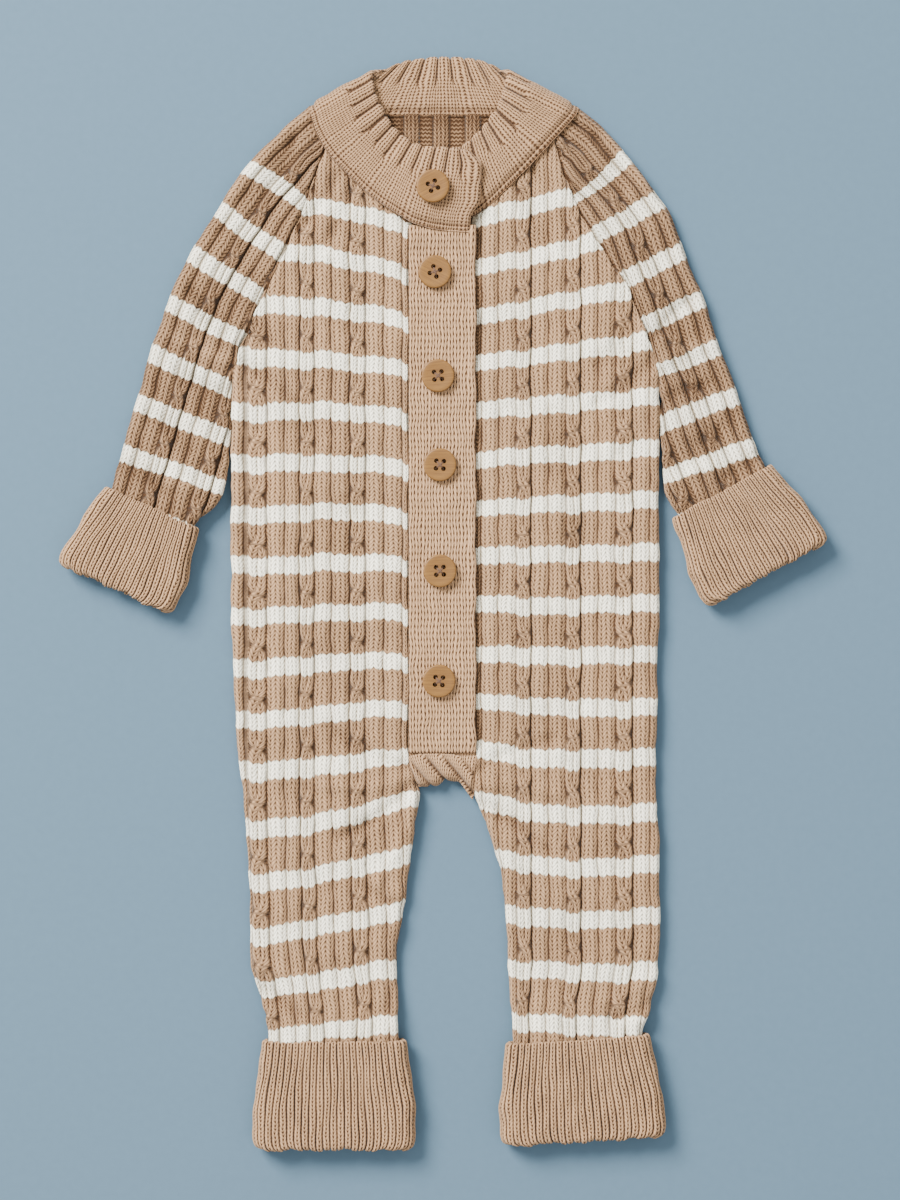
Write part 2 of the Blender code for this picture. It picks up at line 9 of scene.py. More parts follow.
import bpy
import numpy as np
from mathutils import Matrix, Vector


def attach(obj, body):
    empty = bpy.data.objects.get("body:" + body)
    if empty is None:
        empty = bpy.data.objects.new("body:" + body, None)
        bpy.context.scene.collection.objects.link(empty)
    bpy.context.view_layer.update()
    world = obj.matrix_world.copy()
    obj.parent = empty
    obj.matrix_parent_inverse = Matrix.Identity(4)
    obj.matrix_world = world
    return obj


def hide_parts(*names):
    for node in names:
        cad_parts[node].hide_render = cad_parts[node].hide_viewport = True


MM = 0.001

# Knit: counts of courses and wales, and sizes in mm
COURSES_PER_STRIPE = 12.0
WHITE_COURSES = 4.0
WALES_PER_RIB = 2.0
BAND_WALE = 3.36
BAND_COURSE = 3.45
TRIM_COURSE = 1.8
CUFF_COURSE = 2.0
INSIDE_WALE = 4.0
INSIDE_COURSE = 2.1
STITCH_SLANT = 1.5         # how far a stitch's arms rise from its middle, in courses
TOOTH = 0.55               # how far a stripe's edge follows the stitches, in courses
CABLE_DEPTH = 1.35         # how deep the ditches beside a cable lie
CABLE_SHADE = 0.09         # painted shade: how much darker the cables are than the plain ribs
SEAM_DEPTH = 0.85          # the shallower ditch between two plain ribs
HUMP = 0.65                # how far the plain ribs between two cables arch up
SLEEVE_DEPTH = 1.3         # the sleeves' ribs against the body's, in height and in painted shade
SLEEVE_SHADE = 0.26        # painted shade that darkens the sleeves against the body
BESIDE_BAND_SHADE = 0.42   # painted shadow on the right front beside the button band, where it runs under the band
# painted shade over the whole collar, whose knit lies deeper
COLLAR_SHADE = 0.13
COLLAR_PURL = 0.34         # how much of purl's cross rows shows in the collar
CABLE_SAG = 0.62           # how far a row hangs down in the middle of a cable, in courses
PLAIN_SAG = 0.20
CREASE_GAIN = 1.3          # how much of the listed creases' height is built
SHADE_PER_HEIGHT = 0.14    # painted shade: how much darker a trough gets for each mm; MAX_SHADE is the most painted shade a point gets
MAX_SHADE = 0.45
SWAY = ((0.34, 24.0), (0.12, 8.0))   # how far the ribs wander sideways, in waves of which size
SWELL = 0.48               # the cloth's soft unevenness, and its finer one
RIPPLE = 0.10

# The garment laid flat, mm
HALF_HEIGHT = 4.0
PRESSED = 0.06             # what is left of the ribs' height where they press on the floor
CUFF_LIFT = 2.6            # how far the legs and the sleeves climb into their cuffs
CUFF_LIFT_LENGTH = 22.0
ROW_STEP = 0.95            # from row to row of the fronts and the sleeves
BACK_ROW_STEP = 1.9
BACK_OVERLAP_Y = -79.0     # the leg backs start here, the body's back ends 2 below
BACK_CENTRE_X = -0.5
BACK_INSET = 0.8           # the back ends this far inside the outline
LEG_CUFF_TOP_Y = -221.0
ARMPIT_Y = 124.0
CROTCH_Y = -84.0
LEG_END_Y = -236.0
FRONT_TOP_Y = 240.2
FRONT_LEFT_LOWER = 3.8     # how much lower the left front starts
SIDE_ROUND = 4.2           # the rounds at a side fold
SEAM_ROUND = 1.3           # the rounds at a sewn edge
SEAM_DROP = 1.2
EDGE_CHANGE = 16.0         # how long a seam takes to turn into a fold
SEAM_TUCK = 2.6            # how far a sewn edge runs on below its neighbour

# Placket, mm
BAND_LEFT_X = -17.9
BAND_RIGHT_X = 17.2
BAND_TOP_Y = 196.0         # below the collar
BAND_END_Y = -78.9
BAND_BASE = 5.8
BAND_TOP_Z = 8.4
BAND_ROUND = 1.4
BAND_ROW_STEP = 1.6
BAND_WALE_HEIGHT = 0.22
BAND_RIM = 0.35            # how far its free edge stands up
BUTTON_DIP = 0.30          # how far a button presses it in
COLLAR_RISE = 1.9          # how far the band climbs to meet the collar's end
STAND_LEFT_X = -16.0
STAND_TOP_Y = 189.0
STAND_END_Y = -76.8
STAND_BASE = 3.3
STAND_TOP_Z = 5.5
STAND_ROUND = 1.1
STAND_ROW_STEP = 4.0
LEFT_EDGE_X = -18.3        # the front pieces end here beside the band
RIGHT_EDGE_X = 17.7

# Front pieces from the neck to the ankle, mm: y, x of the outer side, x of the inner side
FRONT_LEFT_SECTIONS = (
    (233.2, -62.3, -59.4), (227, -64.7, -53.9), (219.2, -67.5, -46.1), (211.9, -69.8, -38.2),
    (205.7, -72.4, -30), (199.4, -75.1, -20.4), (195.5, -76.7, -18.3), (182, -82.4, -18.3),
    (168, -89.5, -18.3), (154.5, -96.2, -18.3), (142, -102.2, -18.3), (130, -107.1, -18.3),
    (122.5, -109.5, -18.3), (114, -110.1, -18.3), (100, -110.4, -18.3), (70, -110.9, -18.3),
    (30, -111.2, -18.3), (-10, -110.4, -18.3), (-45, -109.2, -18.3), (-77, -107.2, -18.3),
    (-84.5, -106.3, -17.6), (-90.7, -105.6, -15), (-98, -104.8, -12), (-111, -104, -13.5),
    (-129, -102.7, -16.1), (-150, -101.7, -18.9), (-180, -101.4, -22.7),
    (-192, -100.6, -23.7), (-199, -98.9, -23.7), (-206, -96.4, -23.6),
    (-213, -94.2, -23.4), (-222, -91.2, -23.1), (-239, -90.8, -22.6),
)
FRONT_RIGHT_SECTIONS = (
    (237.4, 59, 54.7), (230.6, 61, 48.4), (223.3, 63.2, 41.5), (216.1, 65.5, 34.2),
    (208.8, 68.1, 27), (202, 71.7, 18.8), (198.5, 73.8, 17.7), (185, 82.1, 17.7),
    (174.5, 89.6, 17.7), (164, 96.3, 17.7), (149.5, 102.2, 17.7), (134.5, 108, 17.7),
    (126.5, 110.9, 17.7), (119, 112.4, 17.7), (100, 113, 17.7), (70, 112.9, 17.7),
    (30, 112.8, 17.7), (-10, 112.6, 17.7), (-45, 112, 17.7), (-77, 111, 17.7),
    (-83.5, 111, 17.5), (-92.8, 111, 16.2), (-102.2, 111.3, 16.2), (-111, 111.8, 20.3),
    (-124, 112.8, 25.5), (-140, 113.2, 29.6), (-160, 113.4, 31.5), (-181, 112.8, 33.3),
    (-199, 111.6, 34.2), (-206, 110.3, 34.5), (-213, 108.2, 34.9), (-222, 104.1, 35.5),
    (-236, 103.9, 36.4),
)

# The back above the crotch, mm: y, x left, x right
BACK_SECTIONS = (
    (253.4, -56, 52.8), (240, -60.8, 58.9), (224.4, -66.5, 63.7), (208.8, -72.2, 70.2),
    (184, -80.9, 82.8), (160, -93.5, 97.6), (136, -105, 107.5), (122.5, -109.4, 111.8),
    (114, -110.1, 112.6), (100, -110.4, 113), (70, -110.9, 112.9), (30, -111.2, 112.8),
    (-10, -110.4, 112.6), (-45, -109.2, 112), (-79, -107, 111),
)

# Sleeves from the collar to the cuff, mm: outer fold x y, front inner edge x y, back inner edge x y,
# rise into the cuff
SLEEVE_LEFT_SECTIONS = (
    (-72, 257, -62.2, 235, -56.9, 252.6, 0), (-80.1, 249.9, -67.1, 221.8, -61.4, 240, 0),
    (-93.6, 237.4, -70.5, 211.4, -67.1, 224.4, 0), (-105.6, 224.4, -74.9, 201, -72.8, 208.8, 0),
    (-118.6, 204.1, -82.7, 182.3, -81.6, 183.8, 0), (-132.6, 181.7, -93.8, 160.9, -94.1, 159.9, 0),
    (-144, 156.8, -105.6, 136, -105.6, 136, 0), (-150.3, 138.1, -110, 122.5, -110, 122.5, 0),
    (-153.9, 127.7, -110.8, 112.1, -110.8, 112.1, 0), (-160.7, 103.7, -111.4, 85.5, -111.4, 85.5, 0),
    (-166.6, 82.5, -112.4, 62, -112.4, 62, 0), (-170.6, 70, -117, 50, -117, 50, 0.55),
    (-172.5, 62, -127, 42.6, -127, 42.6, 1), (-173.1, 58.5, -129.9, 38.9, -129.9, 38.9, 1),
    (-179, 46.2, -135.2, 26.4, -135.2, 26.4, 1),
)
SLEEVE_RIGHT_SECTIONS = (
    (72, 257, 59, 239, 53.6, 252.6, 0), (82.2, 249.3, 63.4, 224.4, 59.8, 240, 0),
    (94.6, 234.8, 66, 216.1, 64.3, 224.4, 0), (106.6, 220.2, 69.7, 206.7, 70.7, 208.8, 0),
    (119.1, 202.5, 81.6, 186.9, 81.8, 187, 0), (127.4, 179.7, 96.2, 165.6, 96.2, 164, 0),
    (136.8, 156.8, 105.6, 142.7, 105.6, 142, 0), (143.5, 136, 111.8, 125.6, 111.8, 125.6, 0),
    (148.7, 122.5, 113.3, 116.2, 113.3, 116.2, 0), (155.5, 104.8, 113.8, 92.8, 113.8, 92.8, 0),
    (161, 88.5, 114.2, 69, 114.2, 69, 0), (165.3, 77.5, 115.6, 55.5, 115.6, 55.5, 0.55),
    (167.3, 73, 119.6, 48.6, 119.6, 48.6, 1), (168.3, 69.8, 122, 45.3, 122, 45.3, 1),
    (175, 57.4, 128.4, 32.8, 128.4, 32.8, 1),
)
SLEEVE_OPEN_ROW = 5.5      # the sleeve's inner edge is a sewn seam above this row, a fold below it

# Stripes: heights of each white stripe's middle at these x, mm, from the neck to the ankle
STRIPE_LEFT_X = (-105.6, -87.4, -64, -35.4, -22.4)
STRIPES_LEFT = (
    (209.8, 207.2, 205.7, 200.5, 197.3), (182.8, 182.3, 181.7, 175, 172.4),
    (154.7, 154.7, 153.7, 149.5, 147.4), (128.2, 126.6, 126.6, 124, 122.5),
    (99.1, 98.5, 99.6, 98, 96.5), (72.5, 72.5, 72.5, 72, 70.5),
    (45.5, 45.5, 47.1, 46.5, 45.5), (19.5, 19.5, 20.5, 20.5, 20),
    (-7.5, -7, -5.5, -4.9, -5.5), (-34.6, -34.6, -31.5, -30.4, -30.4),
    (-61.6, -60.6, -58.5, -55.4, -55.4), (-87.6, -87.6, -85.5, -80.9, -80.3),
    (-116.7, -117.8, -115.2, -108.4, -103.2), (-145.3, -145.3, -141.7, -135.5, -132.3),
    (-172.9, -172.9, -168.7, -163.5, -160.4), (-201, -201, -196.8, -192.1, -191.1),
    (-227, -225.9, -222.8, -220.2, -219.2),
)
STRIPE_RIGHT_X = (27, 53, 76.4, 107.6)
STRIPES_RIGHT = (
    (201.5, 207.7, 215, 224.4), (176, 181.2, 186.9, 195.3), (150.5, 154.7, 159.4, 166.1),
    (125.6, 128.7, 131.8, 136), (100.6, 102.7, 104.3, 106.9), (74.6, 76.7, 78.3, 79.8),
    (49.7, 50.7, 51.7, 52.8), (24.2, 24.7, 25.2, 26.3), (-1.3, -1.3, -1.3, -0.8),
    (-27.3, -27.8, -28.3, -27.3), (-52.3, -54.9, -54.9, -54.3), (-77.2, -81.4, -81.4, -80.3),
    (-104.8, -110.5, -111.5, -109.5), (-133.4, -137.5, -138.1, -136.5),
    (-162.5, -164.6, -165.1, -163.5), (-190.6, -191.6, -192.7, -192.1),
    (-217.6, -218.7, -220.7, -220.2),
)
# Stripes down a sleeve: distance of each along the outer fold, and its slant across the sleeve
SLEEVE_STRIPES_LEFT = (
    (43.3, -0.19), (69.3, 0.09), (97, 0.05), (125.3, -0.05), (153.4, 0.065), (179.5, 0.015),
    (207, -0.035),
)
SLEEVE_STRIPES_RIGHT = (
    (34.3, 0.28), (63.1, 0.12), (91.8, 0.07), (120, 0), (146.4, 0.12), (173.3, 0.075),
    (201, -0.075),
)

# Ribs across the front from the band outwards, mm: where each starts, and its kind
RIBS_LEFT = (
    (-24, "plain"), (-14.6, "plain"), (-5.5, "plain"), (3.1, "plain"), (12.7, "plain"),
    (22.3, "cable"), (30.3, "plain"), (40, "plain"), (49, "cable"), (56.4, "plain"),
    (64.2, "plain"), (73.6, "cable"), (83.4, "ground"), (85.4, "plain"), (96, "plain"),
    (105, "cable"), (113, "end"),
)
RIBS_RIGHT = (
    (-24, "plain"), (-15, "plain"), (-6.5, "plain"), (2.3, "plain"), (11.3, "plain"),
    (20.4, "cable"), (28.1, "plain"), (37.2, "plain"), (46.3, "cable"), (54, "plain"),
    (63, "plain"), (72, "cable"), (81, "plain"), (90, "plain"), (99, "plain"),
    (108, "end"),
)
# Across a sleeve, from its outer fold inwards
RIBS_SLEEVE = (
    (-10, "plain"), (-0.8, "plain"), (8.3, "plain"), (17.7, "cable"), (25.2, "plain"),
    (33.4, "plain"), (42.6, "cable"), (51, "plain"), (60, "plain"), (69, "end"),
)

# Cuffs, mm: middle of the top edge x y, middle of the fold x y, half width at the top edge and at
# the fold, how far the sleeve or the leg reaches in, ribs on a face
CUFFS = {
    "leg_cuff_left": (-56.7, -228.5, -56.6, -285, 37.4, 42.6, 11, 19),
    "leg_cuff_right": (69.9, -227.6, 73.4, -280.6, 37.2, 43.2, 11, 19),
    "sleeve_cuff_left": (-151.3, 49.1, -170.7, 6.4, 26.8, 33.2, 14.5, 17),
    "sleeve_cuff_right": (145.1, 57.5, 168.9, 14.1, 29.3, 36.6, 14.5, 18),
}
# Share of a cuff's length, and share of its widening reached there
CUFF_PROFILE = ((0, 0), (0.25, 0.35), (0.6, 0.85), (0.85, 1), (1, 0.93))
CUFF_HEIGHT = 13.2
CUFF_SIDE_RIBS = 5         # ribs round each side fold of a cuff
CUFF_RIB_COLUMNS = 12
CUFF_GROOVE = 1.55         # how deep the grooves between the ribs lie
CUFF_UNEVEN = 0.42
CUFF_WANDER = 0.34         # how far the grooves wander sideways
CUFF_SAG = 0.8             # how unevenly the fold hangs down
CUFF_ROW_STEP = 1.9
CUFF_CORNER = 3.2          # how far the folded corners are rounded off
RIB_WALL = 2.2
LAYER_GAP = 0.5

# The collar around the neck, mm: seam edge x y, folded edge x y, height of its middle
TAB_MID_HEIGHT = 11.6
COLLAR_STATIONS = (
    (14, 192.7, 16.1, 233.2, TAB_MID_HEIGHT), (3.6, 193.2, 8.8, 235.3, TAB_MID_HEIGHT),
    (-6.8, 194.7, 1.6, 235.8, TAB_MID_HEIGHT), (-15.6, 197.3, -5.2, 236.3, 11.4),
    (-23.9, 202.5, -9.9, 236.9, 10.3), (-32.8, 208.3, -15.6, 238.9, 9),
    (-41.6, 215.5, -21.3, 243.1, 8.4), (-49.4, 223.3, -26, 247.8, 8.3),
    (-56.7, 230.6, -29.6, 253.5, 8.3), (-62.4, 238.4, -32.8, 259.2, 8.3),
    (-66.6, 246.7, -34.8, 265.5, 8.3), (-68.1, 253, -35.9, 271.7, 8.3),
    (-69, 255.2, -35.6, 274.2, 7.5), (-69.2, 256.9, -34.8, 276.2, 5.6),
    (-67.8, 257.3, -33.2, 277, 3.6), (-64.5, 256.6, -30, 278.2, 2.8),
    (-56, 255, -24.4, 280.4, 2.8), (-35.4, 254, -17.2, 282.6, 2.8),
    (-18.2, 254, -9.4, 284.1, 2.8), (-1.6, 254, -1, 284.6, 2.8),
    (15.6, 254, 8.3, 284.5, 2.8), (33.3, 254, 17.2, 283.4, 2.8),
    (54, 255, 24.4, 280.8, 2.8), (63.8, 256.4, 29, 278.2, 2.8),
    (67.6, 257.3, 31.6, 276.6, 3.6), (69.4, 256.9, 32.6, 275.6, 5.6),
    (69.2, 255, 32.8, 273.2, 7.5), (68.1, 253, 32.2, 271, 8.3),
    (63.4, 247.8, 30.8, 265.6, 8.3), (57.7, 241.5, 29.1, 260.8, 8.3),
    (51, 234.3, 27, 256.1, 8.3), (43.2, 225.9, 23.9, 251.9, 8.2),
    (34.8, 217.6, 20.3, 247.3, 7.6), (26.5, 209.3, 16.1, 242.6, 6.8),
    (18.2, 202.5, 12, 238.4, 6.2), (7.8, 197.9, 6.8, 235.8, 6.1),
    (-3.1, 195.3, 0, 234.8, 6.1), (-14, 194.2, -6.8, 234.3, 6.1),
)
COLLAR_HALF = 2.45         # from the collar's middle to its faces
COLLAR_RIB = 6.6           # from groove to groove along the folded edge
COLLAR_RIB_LENGTH = 16.5   # how far the ribs run down from the folded edge
COLLAR_GROOVE = 1.30       # how deep the grooves between its ribs lie
COLLAR_BEAD = 1.95         # from the seam edge to the line of stitches along it
COLLAR_PLAIN_STEPS = 18
COLLAR_RIB_STEPS = 18
# Where the rows of each rib lie, as shares of the rib
COLLAR_PHASES = (0.03, 0.08, 0.16, 0.28, 0.42, 0.58, 0.72, 0.84, 0.92, 0.97)

# The gusset from the left to the right leg, mm: top seam x y, crotch fold x y
GUSSET_STATIONS = (
    (-18.2, -80.6, -11.4, -96.5), (-12.3, -79, -8.3, -96.7), (-6.8, -78.9, -4.7, -95.9),
    (-0.5, -78.9, -0.5, -93.9), (5.2, -79.2, 4.2, -92.6), (10.4, -80.5, 8.3, -93.3),
    (17.4, -80, 13.4, -100.2),
)

# Buttons from the collar to the crotch: x, y in mm, turn in degrees, height of their seat in mm
BUTTONS = (
    (-5.2, 215, 25, 14.35), (-4.2, 171.3, -28, 8.7), (-2.6, 117.3, 4, 8.7),
    (-1.6, 71, -3, 8.7), (-1.6, 15.9, 2, 8.7), (-2.1, -41.3, -4, 8.7),
)
BUTTON_RADIUS = 8.5
BUTTON_HEIGHT = 3.1
BUTTON_RIM = 2.6
BUTTON_DISH = 0.10         # how far the middle lies below the rim
HOLE_RADIUS = 1.22
HOLE_SPACING = 3.9
THREAD_RADIUS = 0.20
THREAD_SPREAD = 0.26       # two strands side by side, each this far from their middle
THREAD_SHARE = 0.84        # how far out in the holes the strands end

# Puckers of the gusset, mm: place, half width, height
GUSSET_PUCKERS = ((-13, 1.2, -1.2), (-8.2, 3, 1.2), (-3.2, 1.2, -1.9), (1.4, 2.8, 1.2),
                  (6, 1.3, -1.7), (10.6, 2.6, 1.1), (14.5, 1.2, -1.2))
GUSSET_LEAN = 0.80         # how far a pucker leans sideways on its way down
GUSSET_PUCKER = 0.85       # how much of the listed heights is built
GUSSET_BELLY = 0.9
GUSSET_MIDDLE_Y = -88.0

# Ribs that show on the inside of the back
INSIDE_RIBS = (-48, -32.5, -16.6, -1, 15.4, 31, 47)
INSIDE_RIB_WIDTH = 8.4
INSIDE_LEVEL = 3.2

# Creases laid one by one, mm: from x y to x y, half width, height (below 0 is a trough)
FRONT_CREASES = (
    # shoulders and yoke, running out from the collar
    (-55, 222, -74, 196, 3.2, -1.1),
    (-48, 214, -62, 186, 3, -0.9),
    (-60, 212, -78, 176, 4, 0.6),
    (48, 224, 66, 196, 3.2, -1),
    (40, 214, 52, 186, 3.4, -0.8),
    (56, 214, 80, 172, 4, 0.6),
    # armpits
    (-108, 126, -78, 104, 4, -1.2),
    (-108, 118, -84, 84, 4.2, 0.7),
    (-100, 146, -80, 120, 4, -0.8),
    (110, 128, 82, 104, 4, -1.1),
    (110, 116, 88, 80, 4.4, 0.7),
    (100, 150, 82, 124, 4, -0.7),
    # belly, long soft waves
    (-58, 110, -62, -40, 9, -0.7),
    (-92, 70, -90, -60, 8, 0.5),
    (62, 96, 58, -50, 9, -0.6),
    (92, 60, 94, -80, 8, 0.5),
    # crotch, fanning out from the gusset
    (-18, -86, -58, -66, 3.6, -1),
    (-18, -92, -60, -96, 3.6, 0.8),
    (-17, -96, -52, -122, 3.4, -1.3),
    (-15, -104, -34, -146, 3.2, 0.9),
    (18, -88, 56, -72, 3.6, -0.9),
    (18, -96, 58, -100, 3.6, 0.8),
    (20, -106, 52, -128, 3.4, -1.2),
    (26, -118, 44, -160, 3.2, 0.8),
    # ankles
    (-24, -158, -38, -150, 3.6, -1.4),
    (-100, -200, -76, -214, 3.4, -1.4),
    (-98, -190, -70, -202, 4, 0.9),
    (-24, -176, -30, -214, 3.6, -0.9),
    (112, -206, 90, -216, 3.4, -1.2),
    (112, -194, 86, -206, 4, 0.8),
    (36, -176, 44, -214, 3.6, -0.8),
)
SLEEVE_CREASES = (
    (-78, 240, -92, 216, 3, -1),
    (-84, 246, -108, 214, 3.6, 0.7),
    (-112, 140, -130, 160, 3.4, -1.3),
    (-112, 126, -140, 138, 3.8, 0.8),
    (-112, 108, -136, 118, 3.6, -1),
    (-150, 96, -134, 80, 4.2, -0.7),
    (-170, 72, -146, 58, 3.6, -1),
    (-118, 58, -140, 62, 3.8, 0.8),
    (80, 240, 92, 214, 3, -1),
    (86, 242, 108, 208, 3.6, 0.7),
    (112, 140, 128, 156, 3.4, -1.3),
    (113, 124, 138, 134, 3.8, 0.8),
    (114, 104, 136, 112, 3.6, -1),
    (150, 96, 136, 84, 4.2, -0.7),
    (166, 78, 146, 64, 3.6, -1),
    (118, 60, 138, 70, 3.8, 0.8),
)
BACK_CREASES = (
    (-100, 130, -64, 100, 5, 1),
    (102, 130, 66, 100, 5, 1),
    (-40, 60, 46, 44, 7, 0.7),
    (-60, -70, -14, -84, 4, 1),
    (62, -70, 16, -84, 4, 1),
    (-96, -196, -60, -208, 4, 1),
    (106, -196, 70, -210, 4, 1),
)

# Colours, linear; each yarn's second colour is its painted shade, mixed in at its ditches and the gaps
# between its stitches
TAN = (0.400, 0.243, 0.132)
TAN_PAINTED_SHADE = (0.043, 0.019, 0.007)
WHITE = (1.0, 0.967, 0.806)
WHITE_PAINTED_SHADE = (0.255, 0.212, 0.150)
TRIM = (0.492, 0.300, 0.163)
TRIM_PAINTED_SHADE = (0.045, 0.019, 0.007)
WOOD_LIGHT = (0.176, 0.083, 0.0144)
WOOD_DARK = (0.109, 0.0465, 0.0092)
THREAD = (0.120, 0.062, 0.036)
FLOOR = (0.0865, 0.1440, 0.1985)

# Painted shade in the gaps between stitches: its strength, the share of them along a course, and the least of
# the rest
BODY_GAPS = (1.15, 0.42, 0.28)
TRIM_GAPS = (1.50, 0.22, 0.36)

# Room, metres; the lens and the sensor are in mm
CAMERA_PLACE = (0.00364, 0.00078, 1.508)
CAMERA_LENS = 86.5
CAMERA_SENSOR = 36.0
FLOOR_SIZE = 16.0
FLOOR_LEVEL = -0.0002
# name, place, size, power in watts, tint
LIGHTS = (
    ("key", (-1.75, 1.75, 2.00), 1.40, 420.0, (1.0, 0.975, 0.94)),
    ("fill", (0.9, -0.9, 2.4), 2.2, 22.0, (0.95, 0.98, 1.0)),
)
WORLD_TINT = (1.0, 0.99, 0.97)
WORLD_STRENGTH = 1.12


# ---------- shapes of lines and fields

def smooth_step(value):
    """0 below 0, 1 above 1, with an even rise between."""
    value = np.clip(value, 0.0, 1.0)
    return value * value * (3.0 - 2.0 * value)


def soft_interp(at, knots, values, blur):
    """Values between knots, with the corners rounded over the blur."""
    order = np.argsort(knots)
    knots = np.asarray(knots, dtype=float)[order]
    values = np.asarray(values, dtype=float)[order]
    steps = np.linspace(-1.6, 1.6, 9)
    weights = np.exp(-steps * steps)
    total = sum(weight * line_interp(at + step * blur, knots, values)
                for step, weight in zip(steps, weights))
    return total / weights.sum()


def line_interp(at, knots, values):
    """Straight lines between knots, carried on past the first and the last one."""
    result = np.interp(at, knots, values)
    first = (values[1] - values[0]) / (knots[1] - knots[0])
    last = (values[-1] - values[-2]) / (knots[-1] - knots[-2])
    result = np.where(at < knots[0], values[0] + first * (at - knots[0]), result)
    return np.where(at > knots[-1], values[-1] + last * (at - knots[-1]), result)


def resampled(at, knots, table, blur):
    """Every column of a table between its knots, with the corners rounded over the blur."""
    return np.stack([soft_interp(at, knots, column, blur) for column in table.T], axis=1)


def walked(points):
    """The distance walked from the first point to each one."""
    return np.concatenate([[0.0], np.cumsum(np.linalg.norm(np.diff(points, axis=0), axis=1))])


def unevenness(x, y, size, seed):
    """A soft field around 0, about -1 to 1, with waves of about this size in mm."""
    total = np.zeros(np.broadcast(x, y).shape)
    for step in range(5):
        angle = seed * 1.7 + step * 2.4
        wave = 2.0 * math.pi / (size * (0.7 + 0.23 * step))
        along = x * math.cos(angle) + y * math.sin(angle)
        total = total + np.sin(along * wave + seed * 3.1 + step * 1.9)
    return total / 2.6


def crease_field(x, y, creases):
    """Heights of the creases at each point: soft troughs and ridges along short lines."""
    total = np.zeros(np.broadcast(x, y).shape)
    for x0, y0, x1, y1, width, height in creases:
        length = math.hypot(x1 - x0, y1 - y0)
        along_x, along_y = (x1 - x0) / length, (y1 - y0) / length
        along = (x - x0) * along_x + (y - y0) * along_y
        bow = 0.06 * length * np.sin(np.clip(along / length, 0.0, 1.0) * math.pi)
        aside = (y - y0) * along_x - (x - x0) * along_y - bow
        past = np.maximum(0.0, np.maximum(-along, along - length)) / (1.5 * width)
        total = total + height * np.exp(-(aside / width) ** 2 - past * past)
    return total


def stripe_number(x, y, columns, heights):
    """Which white stripe lies at a point, counted from the neck: whole at a stripe's middle."""
    upward = np.asarray(heights)[::-1]
    number = np.arange(len(upward), 0, -1, dtype=float)
    at_columns = np.stack([line_interp(y, column, number) for column in upward.T])
    columns = np.asarray(columns)
    place = np.clip(np.searchsorted(columns, x) - 1, 0, len(columns) - 2)
    share = np.clip((x - columns[place]) / (columns[place + 1] - columns[place]), -0.3, 1.3)
    low, high = (np.take_along_axis(at_columns, place[None] + step, axis=0)[0] for step in (0, 1))
    return low * (1.0 - share) + high * share


def courses_from_stripes(number):
    """Courses counted up the cloth, so that the white ones start each repeat.

    The count starts high enough to stay above 0, as the other pieces' counts do.
    """
    return COURSES_PER_STRIPE * (60.0 - number) + (WHITE_COURSES + TOOTH) / 2


# ---------- ribs and cables

PLAIN_STEPS = (0.0, 0.045, 0.11, 0.22, 0.38, 0.55, 0.70, 0.84, 0.93)
CABLE_STEPS = tuple(step / 12 for step in range(12))
GROUND_STEPS = (0.0, 0.3, 0.65)
STEPS = {"plain": PLAIN_STEPS, "cable": CABLE_STEPS, "ground": GROUND_STEPS}
CROSSING_START = 0.37      # shares of a stripe's repeat, from the bottom of the white
CROSSING_LENGTH = 0.44
STRAND_PLACE = 0.26        # where a cable's strands lie at rest, and their half width, as shares of it
STRAND_HALF = 0.255


def rib_columns(ribs, low, high, skip=1):
    """Arcs of the grid's columns, so that each rib gets the same ones."""
    arcs = []
    for (start, kind), (end, _) in zip(ribs, ribs[1:]):
        arcs += [start + (end - start) * share for share in STEPS[kind][::skip]]
    return np.array([low] + [arc for arc in arcs if low < arc < high] + [high])


def rib_relief(arc, courses, ribs):
    """Height in mm, wales and painted shade of the ribs and cables at each point."""
    starts = np.array([start for start, _ in ribs])
    kinds = np.array([kind for _, kind in ribs])
    index = np.clip(np.searchsorted(starts, arc, side="right") - 1, 0, len(ribs) - 2)
    cable, ground = kinds == "cable", kinds == "ground"
    sunken = cable | ground
    deep = np.where(sunken | np.roll(sunken, 1), CABLE_DEPTH, SEAM_DEPTH)
    start, end = starts[index], starts[index + 1]
    share = np.clip((arc - start) / (end - start), 0.0, 1.0)
    depth = deep[index] * (1.0 - share) + deep[index + 1] * share
    edge = np.abs(2.0 * share - 1.0)
    height = -depth * edge ** 5 - 0.30 * edge ** 2
    # painted shade in the ditches between the ribs, more of it beside the cables and the purl ground
    painted_shade = edge ** 6 * (0.45 + 0.55 * depth / CABLE_DEPTH)
    group_start, group_end = rib_groups(ribs)
    span = group_end[index] - group_start[index]
    height = height - HUMP * (2.0 * (arc - group_start[index]) / span - 1.0) ** 2
    wales = WALES_PER_RIB * (index + 0.04 + 0.92 * share)
    cable_height, cable_wales, cable_painted_shade = cable_relief(share, courses)
    is_cable = cable[index]
    height = np.where(is_cable, cable_height, height)
    wales = np.where(is_cable, WALES_PER_RIB * index + cable_wales, wales)
    # the cables take their own painted shade, and a little more all over
    painted_shade = np.where(is_cable, cable_painted_shade + CABLE_SHADE, painted_shade)
    is_ground = ground[index]
    sunk = 1.0 - (2.0 * share - 1.0) ** 2
    height = np.where(is_ground, -CABLE_DEPTH * (0.75 + 0.25 * sunk), height)
    # painted shade in the sunk purl ground
    painted_shade = np.where(is_ground, 0.26 + 0.34 * sunk, painted_shade)
    return height, wales, painted_shade


def rib_groups(ribs):
    """Where the run of plain ribs around each rib starts and ends."""
    first, last = list(range(len(ribs) - 1)), list(range(1, len(ribs)))
    joined = [before[1] == after[1] == "plain" for before, after in zip(ribs, ribs[1:])]
    for index in range(1, len(first)):
        if joined[index - 1]:
            first[index] = first[index - 1]
    for index in range(len(last) - 2, -1, -1):
        if joined[index]:
            last[index] = last[index + 1]
    starts = np.array([start for start, _ in ribs])
    return starts[first], starts[last]


